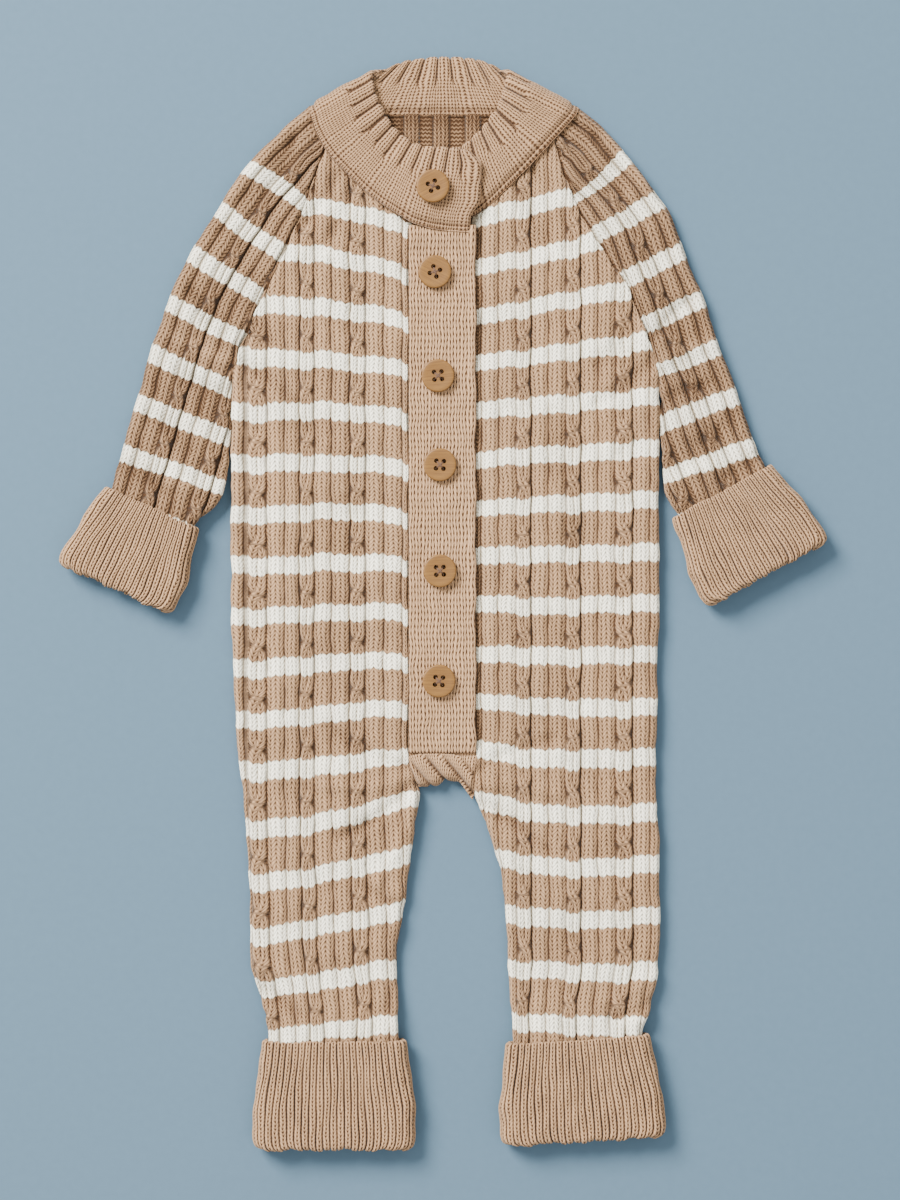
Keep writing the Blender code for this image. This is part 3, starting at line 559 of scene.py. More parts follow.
def cable_relief(share, courses):
    """A cable of two strands that cross once in each stripe's repeat."""
    part = np.mod(courses / COURSES_PER_STRIPE, 1.0)
    turn = smooth_step((part - CROSSING_START) / CROSSING_LENGTH)
    lift = np.sin(math.pi * turn)
    front = 1.0 - STRAND_PLACE - (1.0 - 2 * STRAND_PLACE) * turn
    back = STRAND_PLACE + (1.0 - 2 * STRAND_PLACE) * turn
    front_aside = (share - front) / (STRAND_HALF + 0.175 * lift)
    back_aside = (share - back) / STRAND_HALF
    front_bulge, back_bulge = (np.sqrt(np.clip(1.0 - aside ** 2, 0.0, 1.0))
                               for aside in (front_aside, back_aside))
    front_height = CABLE_DEPTH * (front_bulge - 1.0) + 0.45 * lift * front_bulge
    back_height = CABLE_DEPTH * (back_bulge - 1.0) - 0.15 * lift * back_bulge
    over = front_height >= back_height
    height = np.where(over, front_height, back_height)
    aside = np.clip(np.where(over, front_aside, back_aside), -1.0, 1.0)
    side = np.where(np.where(over, front, back) > 0.5, 1.0, 0.0)
    wales = side + 0.5 + 0.5 * aside
    # painted shade along the strands' edges and on the back strand as it dips, and a painted shadow along the
    # front strand's edges where it crosses
    crossing = np.exp(-((np.abs(front_aside) - 1.0) / 0.14) ** 2)
    painted_shade = 0.62 * aside ** 6 + 0.10 * lift * ~over + 0.34 * lift * crossing
    return height, wales, np.clip(painted_shade, 0.0, 0.95)


# ---------- cloth that lies flat

def laid_face(origin, across, face, arcs, low, high, low_edge, high_edge, low_tuck=0.0, high_tuck=0.0):
    """Points and normals of one face of flat cloth whose rows turn down over both edges.

    origin and across hold a point and a unit vector for each row. low and high are the edges'
    distances from the origin. Each edge is (round, drop) for each row. face is 1 for the top.
    A tuck is how far the cloth runs on flat past its edge, below what lies next to it.
    """
    low, high = low[:, None], high[:, None]
    (low_round, low_drop), (high_round, high_drop) = (
        [value[:, None] for value in edge] for edge in (low_edge, high_edge))
    fit = np.clip((high - low) / (low_round + high_round + 0.01), 0.02, 1.0)
    low_round, low_drop, high_round, high_drop = (
        value * fit for value in (low_round, low_drop, high_round, high_drop))
    quarter = math.pi / 2
    low_length, high_length = (quarter * np.sqrt((size ** 2 + drop ** 2) / 2) for size, drop in
                               ((low_round, low_drop), (high_round, high_drop)))
    low_start, high_start = low + low_round, high - high_round
    low_end, high_end = low_start - low_length, high_start + high_length
    arcs = np.broadcast_to(arcs, (len(origin), np.shape(arcs)[-1]))
    low_over = np.clip(low_end - arcs, 0.0, low_tuck)
    high_over = np.clip(arcs - high_end, 0.0, high_tuck)
    arc = np.clip(arcs, low_end, high_end)
    low_turn = np.clip((low_start - arc) / low_length, 0.0, 1.0) * quarter
    high_turn = np.clip((arc - high_start) / high_length, 0.0, 1.0) * quarter
    place = np.clip(arc, low_start, high_start) - low_over + high_over
    place = place - low_round * np.sin(low_turn) + high_round * np.sin(high_turn)
    drop = low_drop * (1.0 - np.cos(low_turn)) + high_drop * (1.0 - np.cos(high_turn))
    sideways = high_drop * np.sin(high_turn) - low_drop * np.sin(low_turn)
    upward = np.where(low_turn > 0.0, low_round * np.cos(low_turn), high_round * np.cos(high_turn))
    size = np.sqrt(sideways ** 2 + upward ** 2) + 1e-9
    up = np.array((0.0, 0.0, float(face)))
    points = origin[:, None, :] + across[:, None, :] * place[..., None] - up * drop[..., None]
    normals = across[:, None, :] * (sideways / size)[..., None] + up * (upward / size)[..., None]
    return points, normals, arc, np.clip((low_over + high_over) / 0.6, 0.0, 1.0)


def leg_level(y):
    """Height of the middle of the flat tube at y."""
    rise = smooth_step((LEG_CUFF_TOP_Y + CUFF_LIFT_LENGTH - y) / CUFF_LIFT_LENGTH)
    return HALF_HEIGHT + CUFF_LIFT * rise


def edge_between(share, seam=(SEAM_ROUND, SEAM_DROP)):
    """Round and drop of an edge on its way from a sewn seam, share 0, to a fold, share 1."""
    fold = (SIDE_ROUND, HALF_HEIGHT)
    return tuple(sewn + (folded - sewn) * share for sewn, folded in zip(seam, fold))


def side_edge(y):
    """Round and drop of the body's side: a sewn edge at the raglan, a fold below the armpit."""
    return edge_between(smooth_step((ARMPIT_Y + 6.0 - y) / EDGE_CHANGE))


def inner_edge(y, seam=(SEAM_ROUND, SEAM_DROP)):
    """Round and drop of the inner side: a sewn edge above the crotch, a fold down the leg."""
    return edge_between(smooth_step((CROTCH_Y + 2.0 - y) / EDGE_CHANGE), seam)


def ankle_squeeze(y):
    """How far the ribs draw together above a leg's cuff."""
    return 0.055 * smooth_step((-180.0 - y) / 40.0)


def front_grid(sections, edge_x, ribs, stripe_x, stripes, leg_shift, band_edge):
    """The outer face of one front with its leg, with its knit."""
    sign = math.copysign(1.0, sections[5][1])
    top_y = FRONT_TOP_Y if sign > 0 else FRONT_TOP_Y - FRONT_LEFT_LOWER
    y = np.arange(top_y, LEG_END_Y, -ROW_STEP)
    knots, side, inner = np.array(sections).T
    side = soft_interp(y, knots, side, 2.2)
    inner = soft_interp(y, knots, inner, 1.6)
    high = np.abs(side - edge_x)
    low = np.minimum(sign * (inner - edge_x), high - 0.8)
    origin = np.stack([np.full_like(y, edge_x), y, leg_level(y) + HALF_HEIGHT], axis=1)
    across = np.zeros((len(y), 3))
    across[:, 0] = sign
    squeeze = ankle_squeeze(y)[:, None]
    shift = leg_shift * smooth_step((CROTCH_Y - y) / 150.0)[:, None]
    columns = rib_columns(ribs, ribs[0][0], ribs[-1][0])
    arcs = columns[None, :] * (1.0 - squeeze) + shift
    high = high + 0.25 * smooth_step((y - ARMPIT_Y) / 8.0)
    tuck = (SEAM_TUCK * smooth_step((y - CROTCH_Y - 4.0) / 6.0))[:, None]
    low_edge = inner_edge(y, band_edge)
    neck = smooth_step((y - 191.0) / 6.0)
    low_edge = (low_edge[0], low_edge[1] + (0.9 - low_edge[1]) * neck)
    points, normals, clipped, tucked = laid_face(
        origin, across, 1, arcs, low, high, low_edge, side_edge(y), low_tuck=tuck)
    rib_arc = (clipped - shift) / (1.0 - squeeze)
    number = stripe_number(points[..., 0], points[..., 1], stripe_x, stripes)
    return points, normals, rib_arc, number, tucked


def finish_cloth(points, normals, rib_arc, number, tucked, ribs, creases, seed,
                 slip=0.0, depth=1.0, base_shade=0.0):
    """Adds ribs, creases and unevenness to a laid face; returns a grid for mesh_piece."""
    x, y = points[..., 0], points[..., 1]
    courses = courses_from_stripes(number) + slip
    height, wales, painted_shade = rib_relief(rib_arc, courses, ribs)
    height = height * depth
    # deeper ribs get deeper painted shade
    painted_shade = painted_shade * depth
    rib_number = np.floor(wales / WALES_PER_RIB)
    share = wales / WALES_PER_RIB - rib_number
    cable = np.array([kind == "cable" for _, kind in ribs])[rib_number.astype(int)]
    courses = courses + np.where(cable, CABLE_SAG, PLAIN_SAG) * (1.0 - (2.0 * share - 1.0) ** 2)
    courses = courses + 0.16 * np.sin(rib_number * 2.3 + seed) + 0.22 * unevenness(x, y, 45.0, seed + 1)
    points[..., 0] += sum(far * unevenness(x, y, size, 21 + step) for step, (far, size) in enumerate(SWAY))
    painted_shade = painted_shade * (0.88 + 0.22 * unevenness(x, y, 13.0, seed + 9))
    big = CREASE_GAIN * crease_field(x, y, creases) + SWELL * unevenness(x, y, 34.0, seed)
    small = RIPPLE * unevenness(x, y, 7.0, seed + 3)
    upward = np.abs(normals[..., 2])
    total = (height + (big + small) * (0.35 + 0.65 * upward)) * (1.0 - tucked)
    points = points + normals * total[..., None]
    # painted shade: troughs of the creases and the unevenness get darker, on top of the piece's base painted
    # shade
    shade = np.clip(base_shade - big * SHADE_PER_HEIGHT, 0.0, MAX_SHADE)
    # painted shade where the cloth is tucked under its neighbour
    knit = np.stack([wales, courses, np.clip(painted_shade + 0.8 * tucked, 0.0, 1.0)], axis=-1)
    tone = np.stack([number > 0.5, np.zeros_like(wales), shade], axis=-1)
    return points, knit, tone, False


# ---------- meshes

def link(name, data):
    """A new object in the scene."""
    item = bpy.data.objects.new(name, data)
    bpy.context.scene.collection.objects.link(item)
    return item


def mesh_piece(name, grids, material, flip=False):
    """One mesh from grids of points with their knit coordinates; faces of no size are left out."""
    all_points, all_faces, all_knit, all_tone = [], [], [], []
    base = 0
    for points, knit, tone, closed in grids:
        rows, columns = points.shape[:2]
        index = base + np.arange(rows * columns).reshape(rows, columns)
        after = np.roll(index, -1, axis=1)
        count = columns if closed else columns - 1
        first, second = index[:-1, :count], index[1:, :count]
        third, fourth = after[1:, :count], after[:-1, :count]
        faces = np.stack([first, second, third, fourth], axis=-1).reshape(-1, 4)
        flat = points.reshape(-1, 3)
        corners = flat[faces - base]
        top = np.linalg.norm(corners[:, 0] - corners[:, 3], axis=1)
        bottom = np.linalg.norm(corners[:, 1] - corners[:, 2], axis=1)
        faces = faces[np.maximum(top, bottom) > 1e-4]
        all_points.append(flat)
        all_faces.append(faces)
        all_knit.append(knit.reshape(-1, 3))
        all_tone.append(tone.reshape(-1, 3))
        base += rows * columns
    points = np.concatenate(all_points) * MM
    points[:, 2] = np.where(points[:, 2] < 0.0, points[:, 2] * PRESSED, points[:, 2])
    faces = np.concatenate(all_faces)
    if flip:
        faces = faces[:, ::-1]
    used = np.unique(faces)
    lookup = np.full(len(points), -1)
    lookup[used] = np.arange(len(used))
    mesh = bpy.data.meshes.new(name)
    mesh.from_pydata(points[used].tolist(), [], lookup[faces].tolist())
    mesh.shade_smooth()
    for label, values in (("knit", all_knit), ("tone", all_tone)):
        layer = mesh.attributes.new(label, "FLOAT_VECTOR", "POINT")
        layer.data.foreach_set("vector", np.concatenate(values)[used].astype(np.float32).ravel())
    mesh.materials.append(material)
    mesh.update()
    return link(name, mesh)


def turned(grid):
    """The grid with its columns the other way round, so that it faces the other way."""
    points, knit, tone, closed = grid
    return points[:, ::-1], knit[:, ::-1], tone[:, ::-1], closed


def place_piece(item, nodes):
    """The piece stands for its CAD nodes and rides on the one body."""
    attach(item, "root")
    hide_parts(*nodes)


def plain_tone(shape, purl=0.0, shade=0.0):
    """The tone values of a piece without stripes."""
    tone = np.zeros(shape + (3,))
    tone[..., 1] = purl
    tone[..., 2] = shade
    return tone


def grid_normals(points):
    """Unit normals of a grid, from its rows and columns."""
    normals = np.cross(np.gradient(points, axis=0), np.gradient(points, axis=1))
    return normals / (np.linalg.norm(normals, axis=-1, keepdims=True) + 1e-9)


# ---------- materials

class Value:
    """A number inside a shader: reckoning with it adds the math nodes."""

    def __init__(self, shader, socket):
        self.shader = shader
        self.socket = socket

    def __add__(self, other):
        return self.shader.math("ADD", self, other)

    def __sub__(self, other):
        return self.shader.math("SUBTRACT", self, other)

    def __rsub__(self, other):
        return self.shader.math("SUBTRACT", other, self)

    def __mul__(self, other):
        return self.shader.math("MULTIPLY", self, other)

    def __mod__(self, other):
        return self.shader.math("MODULO", self, other)

    def __pow__(self, other):
        return self.shader.math("POWER", self, other)

    def __abs__(self):
        return self.shader.math("ABSOLUTE", self)

    __radd__ = __add__
    __rmul__ = __mul__


class Shader:
    """A node tree in the making, with short calls for the nodes used here."""

    def __init__(self, name):
        self.material = bpy.data.materials.new(name)
        self.material.use_nodes = True
        self.tree = self.material.node_tree
        self.output = self.tree.nodes["Principled BSDF"]

    def node(self, kind, **settings):
        """A new node with these settings."""
        made = self.tree.nodes.new(kind)
        for key, value in settings.items():
            setattr(made, key, value)
        return made

    def feed(self, socket, value):
        """Links or sets a socket."""
        if isinstance(value, Value):
            self.tree.links.new(value.socket, socket)
        else:
            socket.default_value = value

    def math(self, operation, *values):
        """A math node's result."""
        made = self.node("ShaderNodeMath", operation=operation)
        for socket, value in zip(made.inputs, values):
            self.feed(socket, value)
        return Value(self, made.outputs[0])

    def set(self, **values):
        """Sets inputs of the surface: words joined by _ stand for the input's name."""
        for key, value in values.items():
            self.feed(self.output.inputs[key.replace("_", " ")], value)

    def mix(self, share, first, second, blend="MIX"):
        """A mix of two colours, each a result or three numbers."""
        made = self.node("ShaderNodeMix", data_type="RGBA", blend_type=blend)
        for place, value in ((0, share), (6, first), (7, second)):
            self.feed(made.inputs[place], (*value, 1.0) if isinstance(value, tuple) else value)
        return Value(self, made.outputs[2])

    def attribute(self, name):
        """The three parts of a mesh attribute."""
        source = self.node("ShaderNodeAttribute", attribute_name=name)
        parts = self.node("ShaderNodeSeparateXYZ")
        self.tree.links.new(source.outputs["Vector"], parts.inputs[0])
        return [Value(self, socket) for socket in parts.outputs]

    def place(self):
        """The point in the object's own space."""
        return Value(self, self.node("ShaderNodeTexCoord").outputs["Object"])

    def noise(self, scale, detail=2.0, place=None):
        """Noise in the object's own space, or at another place."""
        made = self.node("ShaderNodeTexNoise")
        self.feed(made.inputs["Vector"], place or self.place())
        made.inputs["Scale"].default_value = scale
        made.inputs["Detail"].default_value = detail
        return Value(self, made.outputs["Fac"])

    def bump(self, height, distance, strength):
        """A bump node's normal."""
        made = self.node("ShaderNodeBump")
        made.inputs["Strength"].default_value = strength
        made.inputs["Distance"].default_value = distance
        self.feed(made.inputs["Height"], height)
        return Value(self, made.outputs[0])


def knit_material(name, light, deep, gaps):
    """Plain knit with its stitches, white stripes, purl ground and painted shade, from the mesh's values."""
    shader = Shader(name)
    contrast, course_share, least = gaps
    wales, courses, painted_shade = shader.attribute("knit")
    striped, purl, shade = shader.attribute("tone")
    wales = wales + (shader.noise(260.0) - 0.5) * 0.30
    courses = courses + (shader.noise(330.0) - 0.5) * 0.55
    # two arms of yarn to each stitch, with the holes beside them staggered
    arms = abs(shader.math("FRACT", wales) * 2.0 - 1.0)
    edge = abs(arms * 2.0 - 1.0) ** 1.4
    slanted = courses - arms * STITCH_SLANT
    between = shader.math("COSINE", slanted * (2.0 * math.pi)) * 0.5 + 0.5
    hole = edge * (between * (1.0 - least) + least)
    gap = shader.math("MAXIMUM", hole, between ** 3.0 * course_share)
    # purl bumps run across in wavy rows
    rows = courses + shader.math("COSINE", wales * (4.0 * math.pi)) * 0.16
    purl_gap = shader.math("SINE", rows * (2.0 * math.pi)) * 0.26 + 0.34
    gap = gap * (1.0 - purl) + purl_gap * purl
    # which courses are white
    place = (courses - arms * TOOTH + WHITE_COURSES) % COURSES_PER_STRIPE
    ramp = (WHITE_COURSES / 2 - abs(place - WHITE_COURSES * 1.5)) * 3.0 + 0.5
    ramp = shader.math("MINIMUM", shader.math("MAXIMUM", ramp, 0.0), 1.0)
    # painted shade in the ditches and stitch gaps of both yarns, then the yarn's own unevenness
    ditch = shader.math("MINIMUM", gap * contrast + painted_shade + shade, 1.0)
    faint = shader.math("MINIMUM", gap * (0.78 * contrast) + painted_shade + shade * 0.5, 1.0)
    colour = shader.mix(ramp * striped, shader.mix(ditch, light, deep), shader.mix(faint, WHITE, WHITE_PAINTED_SHADE))
    lit = (shader.noise(900.0, 3.0) - 0.5) * 0.5 + (shader.noise(22.0) - 0.5) * 0.16 + 1.0
    factor = shader.node("ShaderNodeCombineXYZ")
    for socket in factor.inputs:
        shader.feed(socket, lit)
    colour = shader.mix(1.0, colour, Value(shader, factor.outputs[0]), "MULTIPLY")
    relief = 1.0 - gap + shader.noise(2600.0) * 0.30
    shader.set(Base_Color=colour, Normal=shader.bump(relief, 0.0007, 0.9), Roughness=0.92,
               Specular_IOR_Level=0.15, Sheen_Weight=0.12, Sheen_Roughness=0.45,
               Sheen_Tint=(1.0, 0.93, 0.86, 1.0))
    return shader.material


def wood_material():
    """Turned pale wood with fine grain lines and a satin finish."""
    shader = Shader("button_wood")
    stretch = shader.node("ShaderNodeMapping")
    stretch.inputs["Scale"].default_value = (60.0, 900.0, 300.0)
    stretch.inputs["Rotation"].default_value = (0.0, 0.0, 0.5)
    shader.feed(stretch.inputs["Vector"], shader.place())
    grain = shader.noise(1.6, 4.0, Value(shader, stretch.outputs["Vector"]))
    ramp = shader.node("ShaderNodeValToRGB")
    for element, position, tint in zip(ramp.color_ramp.elements, (0.30, 0.68), (WOOD_DARK, WOOD_LIGHT)):
        element.position = position
        element.color = (*tint, 1.0)
    shader.feed(ramp.inputs["Fac"], grain)
    shader.set(Base_Color=Value(shader, ramp.outputs["Color"]), Normal=shader.bump(grain, 0.0001, 0.35),
               Roughness=0.48, Specular_IOR_Level=0.35)
    return shader.material


def thread_material():
    """Matt sewing thread with a twist."""
    shader = Shader("button_thread")
    twist = shader.noise(2500.0)
    shader.set(Base_Color=shader.mix(twist, tuple(part * 0.6 for part in THREAD), THREAD),
               Normal=shader.bump(twist, 0.0002, 0.6), Roughness=0.85)
    return shader.material


def floor_material():
    """Matt pale paper with a very faint mottle."""
    shader = Shader("floor_paper")
    mottle = shader.noise(240.0, 6.0)
    shader.set(Base_Color=shader.mix(mottle, tuple(part * 0.90 for part in FLOOR), FLOOR),
               Normal=shader.bump(shader.noise(700.0), 0.0001, 0.10), Roughness=0.9,
               Specular_IOR_Level=0.1)
    return shader.material


# ---------- pieces

def build_fronts(material):
    """Both fronts, each with its leg."""
    for name, sections, edge_x, ribs, stripe_x, stripes, shift, band_edge, seed in (
            ("front_left", FRONT_LEFT_SECTIONS, LEFT_EDGE_X, RIBS_LEFT, STRIPE_LEFT_X, STRIPES_LEFT,
             -2.6, (0.7, 2.5), 1),
            ("front_right", FRONT_RIGHT_SECTIONS, RIGHT_EDGE_X, RIBS_RIGHT, STRIPE_RIGHT_X, STRIPES_RIGHT,
             0.6, (0.6, 0.65), 2)):
        points, normals, rib_arc, number, tucked = front_grid(
            sections, edge_x, ribs, stripe_x, stripes, shift, band_edge)
        x, y = points[..., 0], points[..., 1]
        slip = 0.0
        if name == "front_right":
            # its edge goes down under the button band
            near = 1.0 - smooth_step((x - RIGHT_EDGE_X) / 8.0)
            points[..., 2] -= 1.7 * near * (1.0 - smooth_step((CROTCH_Y + 14.0 - y) / 14.0))
        else:
            # the stitches next to the band are out of step with the others
            slip = 1.3 * smooth_step((3.6 - rib_arc) / 1.0) * smooth_step((y + 70.0) / 10.0)
        grid = finish_cloth(points, normals, rib_arc, number, tucked, ribs, FRONT_CREASES, seed, slip)
        if name == "front_right":
            # painted shadow on the right front beside the band's free edge
            beside = 1.0 - smooth_step((x - RIGHT_EDGE_X - 0.6) / 2.6)
            grid[2][..., 2] += BESIDE_BAND_SHADE * beside * smooth_step((y - BAND_END_Y) / 6.0)
        item = mesh_piece(f"{name}_cloth", [grid], material, flip=name == "front_left")
        place_piece(item, [name])


def sleeve_face(sections, stripes, face, seed):
    """One face of a flat sleeve, from its outer fold inwards."""
    table = np.array(sections)
    knots = walked(table[:, 0:2])
    along = np.arange(-2.6, knots[-1], ROW_STEP)
    outer = resampled(along, knots, table[:, 0:2], 3.0)
    inner = resampled(along, knots, table[:, 2:4] if face > 0 else table[:, 4:6], 3.0)
    rise = soft_interp(along, knots, table[:, 6], 3.0)
    row_number = np.interp(along, knots, np.arange(len(knots)))
    width = np.linalg.norm(inner - outer, axis=1)
    across = np.zeros((len(along), 3))
    across[:, :2] = (inner - outer) / width[:, None]
    # beside the body the sleeve comes right up to its side
    width = width + 1.6 * smooth_step(row_number - 6.0) * smooth_step((10.0 - row_number) / 1.5)
    level = HALF_HEIGHT + CUFF_LIFT * rise + face * HALF_HEIGHT
    origin = np.concatenate([outer, level[:, None]], axis=1)
    share = smooth_step((row_number - SLEEVE_OPEN_ROW + 0.5) / 2.0)
    fold = edge_between(np.ones_like(along))
    seam = edge_between(share)
    seam = (seam[0], seam[1] + 0.45 * (1.0 - share))
    arcs = rib_columns(RIBS_SLEEVE, RIBS_SLEEVE[0][0], RIBS_SLEEVE[-1][0], 1 if face > 0 else 2)
    points, normals, arc, tucked = laid_face(origin, across, face, arcs, np.zeros_like(width), width,
                                             fold, seam, high_tuck=(3.2 * (1.0 - share))[:, None])
    starts, slants = np.array(stripes).T
    spaced = np.arange(1, len(starts) + 1, dtype=float)
    number = np.zeros_like(arc)
    for column in range(arc.shape[1]):
        reach = np.clip(arc[:, column], 0.0, 60.0)
        lines = starts[None, :] + slants[None, :] * reach[:, None]
        number[:, column] = [line_interp(np.array([row]), line, spaced)[0] for row, line in zip(along, lines)]
    # the sleeves get deeper ribs and a painted shade all over
    return finish_cloth(points, normals, arc, number, tucked, RIBS_SLEEVE, SLEEVE_CREASES, seed,
                        depth=SLEEVE_DEPTH, base_shade=SLEEVE_SHADE)


def build_sleeves(material):
    """Both sleeves, a top and an under face each."""
    for name, sections, stripes, seed in (
            ("sleeve_left", SLEEVE_LEFT_SECTIONS, SLEEVE_STRIPES_LEFT, 4),
            ("sleeve_right", SLEEVE_RIGHT_SECTIONS, SLEEVE_STRIPES_RIGHT, 5)):
        top = sleeve_face(sections, stripes, 1, seed)
        under = turned(sleeve_face(sections, stripes, -1, seed))
        item = mesh_piece(f"{name}_cloth", [top, under], material, flip=name == "sleeve_right")
        place_piece(item, [name])


def back_face(y, left, right, ribs, low_edge, high_edge):
    """The under face of the back between two edges, its ribs counted from the centre line."""
    origin = np.stack([np.full_like(y, BACK_CENTRE_X), y, leg_level(y) - HALF_HEIGHT], axis=1)
    across = np.zeros((len(y), 3))
    across[:, 0] = 1.0
    half = rib_columns(ribs, 0.0, ribs[-1][0])
    arcs = np.concatenate([-half[::-1], half[1:]])
    return laid_face(origin, across, -1, arcs, left - BACK_CENTRE_X, right - BACK_CENTRE_X,
                     low_edge, high_edge)


def build_back(material):
    """The back: its under face down to the ankles, and its inside below the neck."""
    ribs = ((0.0, "plain"),) + tuple((start + 18.0, kind) for start, kind in RIBS_LEFT[2:])
    ribs = tuple(sorted(set(ribs)))
    y = np.arange(BACK_SECTIONS[0][0], BACK_OVERLAP_Y - 2.0, -BACK_ROW_STEP)
    knots, left, right = np.array(BACK_SECTIONS).T
    left = soft_interp(y, knots, left, 2.5) + BACK_INSET
    right = soft_interp(y, knots, right, 2.5) - BACK_INSET
    stripe_x = STRIPE_LEFT_X + STRIPE_RIGHT_X
    stripes = np.hstack([STRIPES_LEFT, STRIPES_RIGHT])
    parts = [(y, left, right, side_edge(y), side_edge(y), stripe_x, stripes, 6)]
    for sections, stripe_x, stripes in ((FRONT_LEFT_SECTIONS, STRIPE_LEFT_X, STRIPES_LEFT),
                                        (FRONT_RIGHT_SECTIONS, STRIPE_RIGHT_X, STRIPES_RIGHT)):
        y = np.arange(BACK_OVERLAP_Y, LEG_END_Y, -BACK_ROW_STEP)
        knots, side, inner = np.array(sections).T
        side = soft_interp(y, knots, side, 2.5)
        inner = soft_interp(y, knots, inner, 2.0)
        # the cuff draws the side in
        side = side - np.sign(side) * 1.8 * smooth_step((-186.0 - y) / 8.0)
        if side[0] > 0.0:
            parts.append((y, inner + BACK_INSET, side - BACK_INSET, inner_edge(y), side_edge(y),
                          stripe_x, stripes, 7))
        else:
            parts.append((y, side + BACK_INSET, inner - BACK_INSET, side_edge(y), inner_edge(y),
                          stripe_x, stripes, 7))
    grids = []
    for y, low, high, low_edge, high_edge, stripe_x, stripes, seed in parts:
        points, normals, arc, tucked = back_face(y, low, high, ribs, low_edge, high_edge)
        number = stripe_number(points[..., 0], points[..., 1], stripe_x, stripes)
        grids.append(finish_cloth(points, normals, np.abs(arc), number, tucked, ribs, BACK_CREASES, seed))
    item = mesh_piece("back_panel_cloth", grids + [neck_inside()], material)
    place_piece(item, ["back_panel"])


def neck_inside():
    """The inside of the back below the neck seam: purl ground with a few ribs standing out."""
    x = np.arange(-56.0, 56.1, 0.8)
    y = np.arange(254.4, 186.0, -0.9)
    x, y = np.meshgrid(x, y)
    z = np.full_like(x, INSIDE_LEVEL)
    wales = x / INSIDE_WALE + 100.0
    purl = np.ones_like(x)
    painted_shade = np.zeros_like(x)
    for middle in INSIDE_RIBS:
        aside = np.abs(x - middle) / (INSIDE_RIB_WIDTH / 2)
        on_rib = aside < 1.0
        z = z + 1.0 * (1.0 - np.clip(aside, 0.0, 1.0) ** 4)
        purl = np.where(on_rib, 0.0, purl)
        wales = np.where(on_rib, 200.0 + (x - middle) / INSIDE_RIB_WIDTH * 2.0, wales)
        # painted shade along both sides of each rib
        painted_shade = painted_shade + 0.34 * np.exp(-((aside - 1.12) / 0.16) ** 2)
    z = z + 0.2 * unevenness(x, y, 20.0, 9)
    points = np.stack([x, y, z], axis=-1)
    knit = np.stack([wales, y / INSIDE_COURSE + 500.0, np.clip(painted_shade, 0.0, 1.0)], axis=-1)
    # painted shade over the whole inside, more of it towards the top by the collar
    shade = 0.42 + 0.20 * smooth_step((y - 244.0) / 8.0)
    tone = np.stack([np.zeros_like(x), purl, shade], axis=-1)
    return points, knit, tone, False


def end_thickness(inset):
    """Share of the full thickness of a rounded end, at an inset given in its rounds."""
    return np.sqrt(np.clip(1.0 - (1.0 - np.clip(inset, 0.0, 1.0)) ** 2, 0.0, 1.0))


def slab_grid(left, right, top, end, base, height, round_size, step):
    """A long flat strip with rounded edges, its stitches running down it."""
    half_width, half_height = (right - left) / 2, (height - base) / 2
    reach = half_width - round_size
    quarter = math.pi / 2
    # round the strip: offset across, height from its middle, and the way along the cloth
    ring = [(place, half_height, place + half_width)
            for place in np.linspace(-reach, reach, int(2 * reach / 0.55))]
    ring += [(reach + round_size * math.cos(angle), half_height * math.sin(angle),
              reach + half_width + (quarter - angle) * round_size)
             for angle in np.linspace(quarter, -quarter, 9)[1:-1]]
    ring += [(place, -half_height, half_width * 3 - place) for place in np.linspace(reach, -reach, 14)]
    ring += [(-reach + round_size * math.cos(angle), half_height * math.sin(angle),
              half_width - reach - (angle + 3 * quarter) * round_size)
             for angle in np.linspace(-quarter, -3 * quarter, 9)[1:-1]]
    across, up, way = np.array(ring).T[:, None, :]
    y = np.arange(top, end, -step)
    y = np.concatenate([[top, top - 0.15, top - 0.5], y[2:], [end + 0.5, end + 0.15, end]])[:, None]
    shrink = np.maximum(end_thickness(np.minimum(top - y, y - end) / 1.1), 0.04)
    x = (left + right) / 2 + across * (0.985 + 0.015 * shrink)
    z = (base + height) / 2 + up * shrink
    y, way = np.broadcast_arrays(y, way)
    points = np.stack([x, y, z], axis=-1)
    return points, np.stack([way / BAND_WALE, y / BAND_COURSE + 900.0, np.zeros_like(x)], axis=-1)


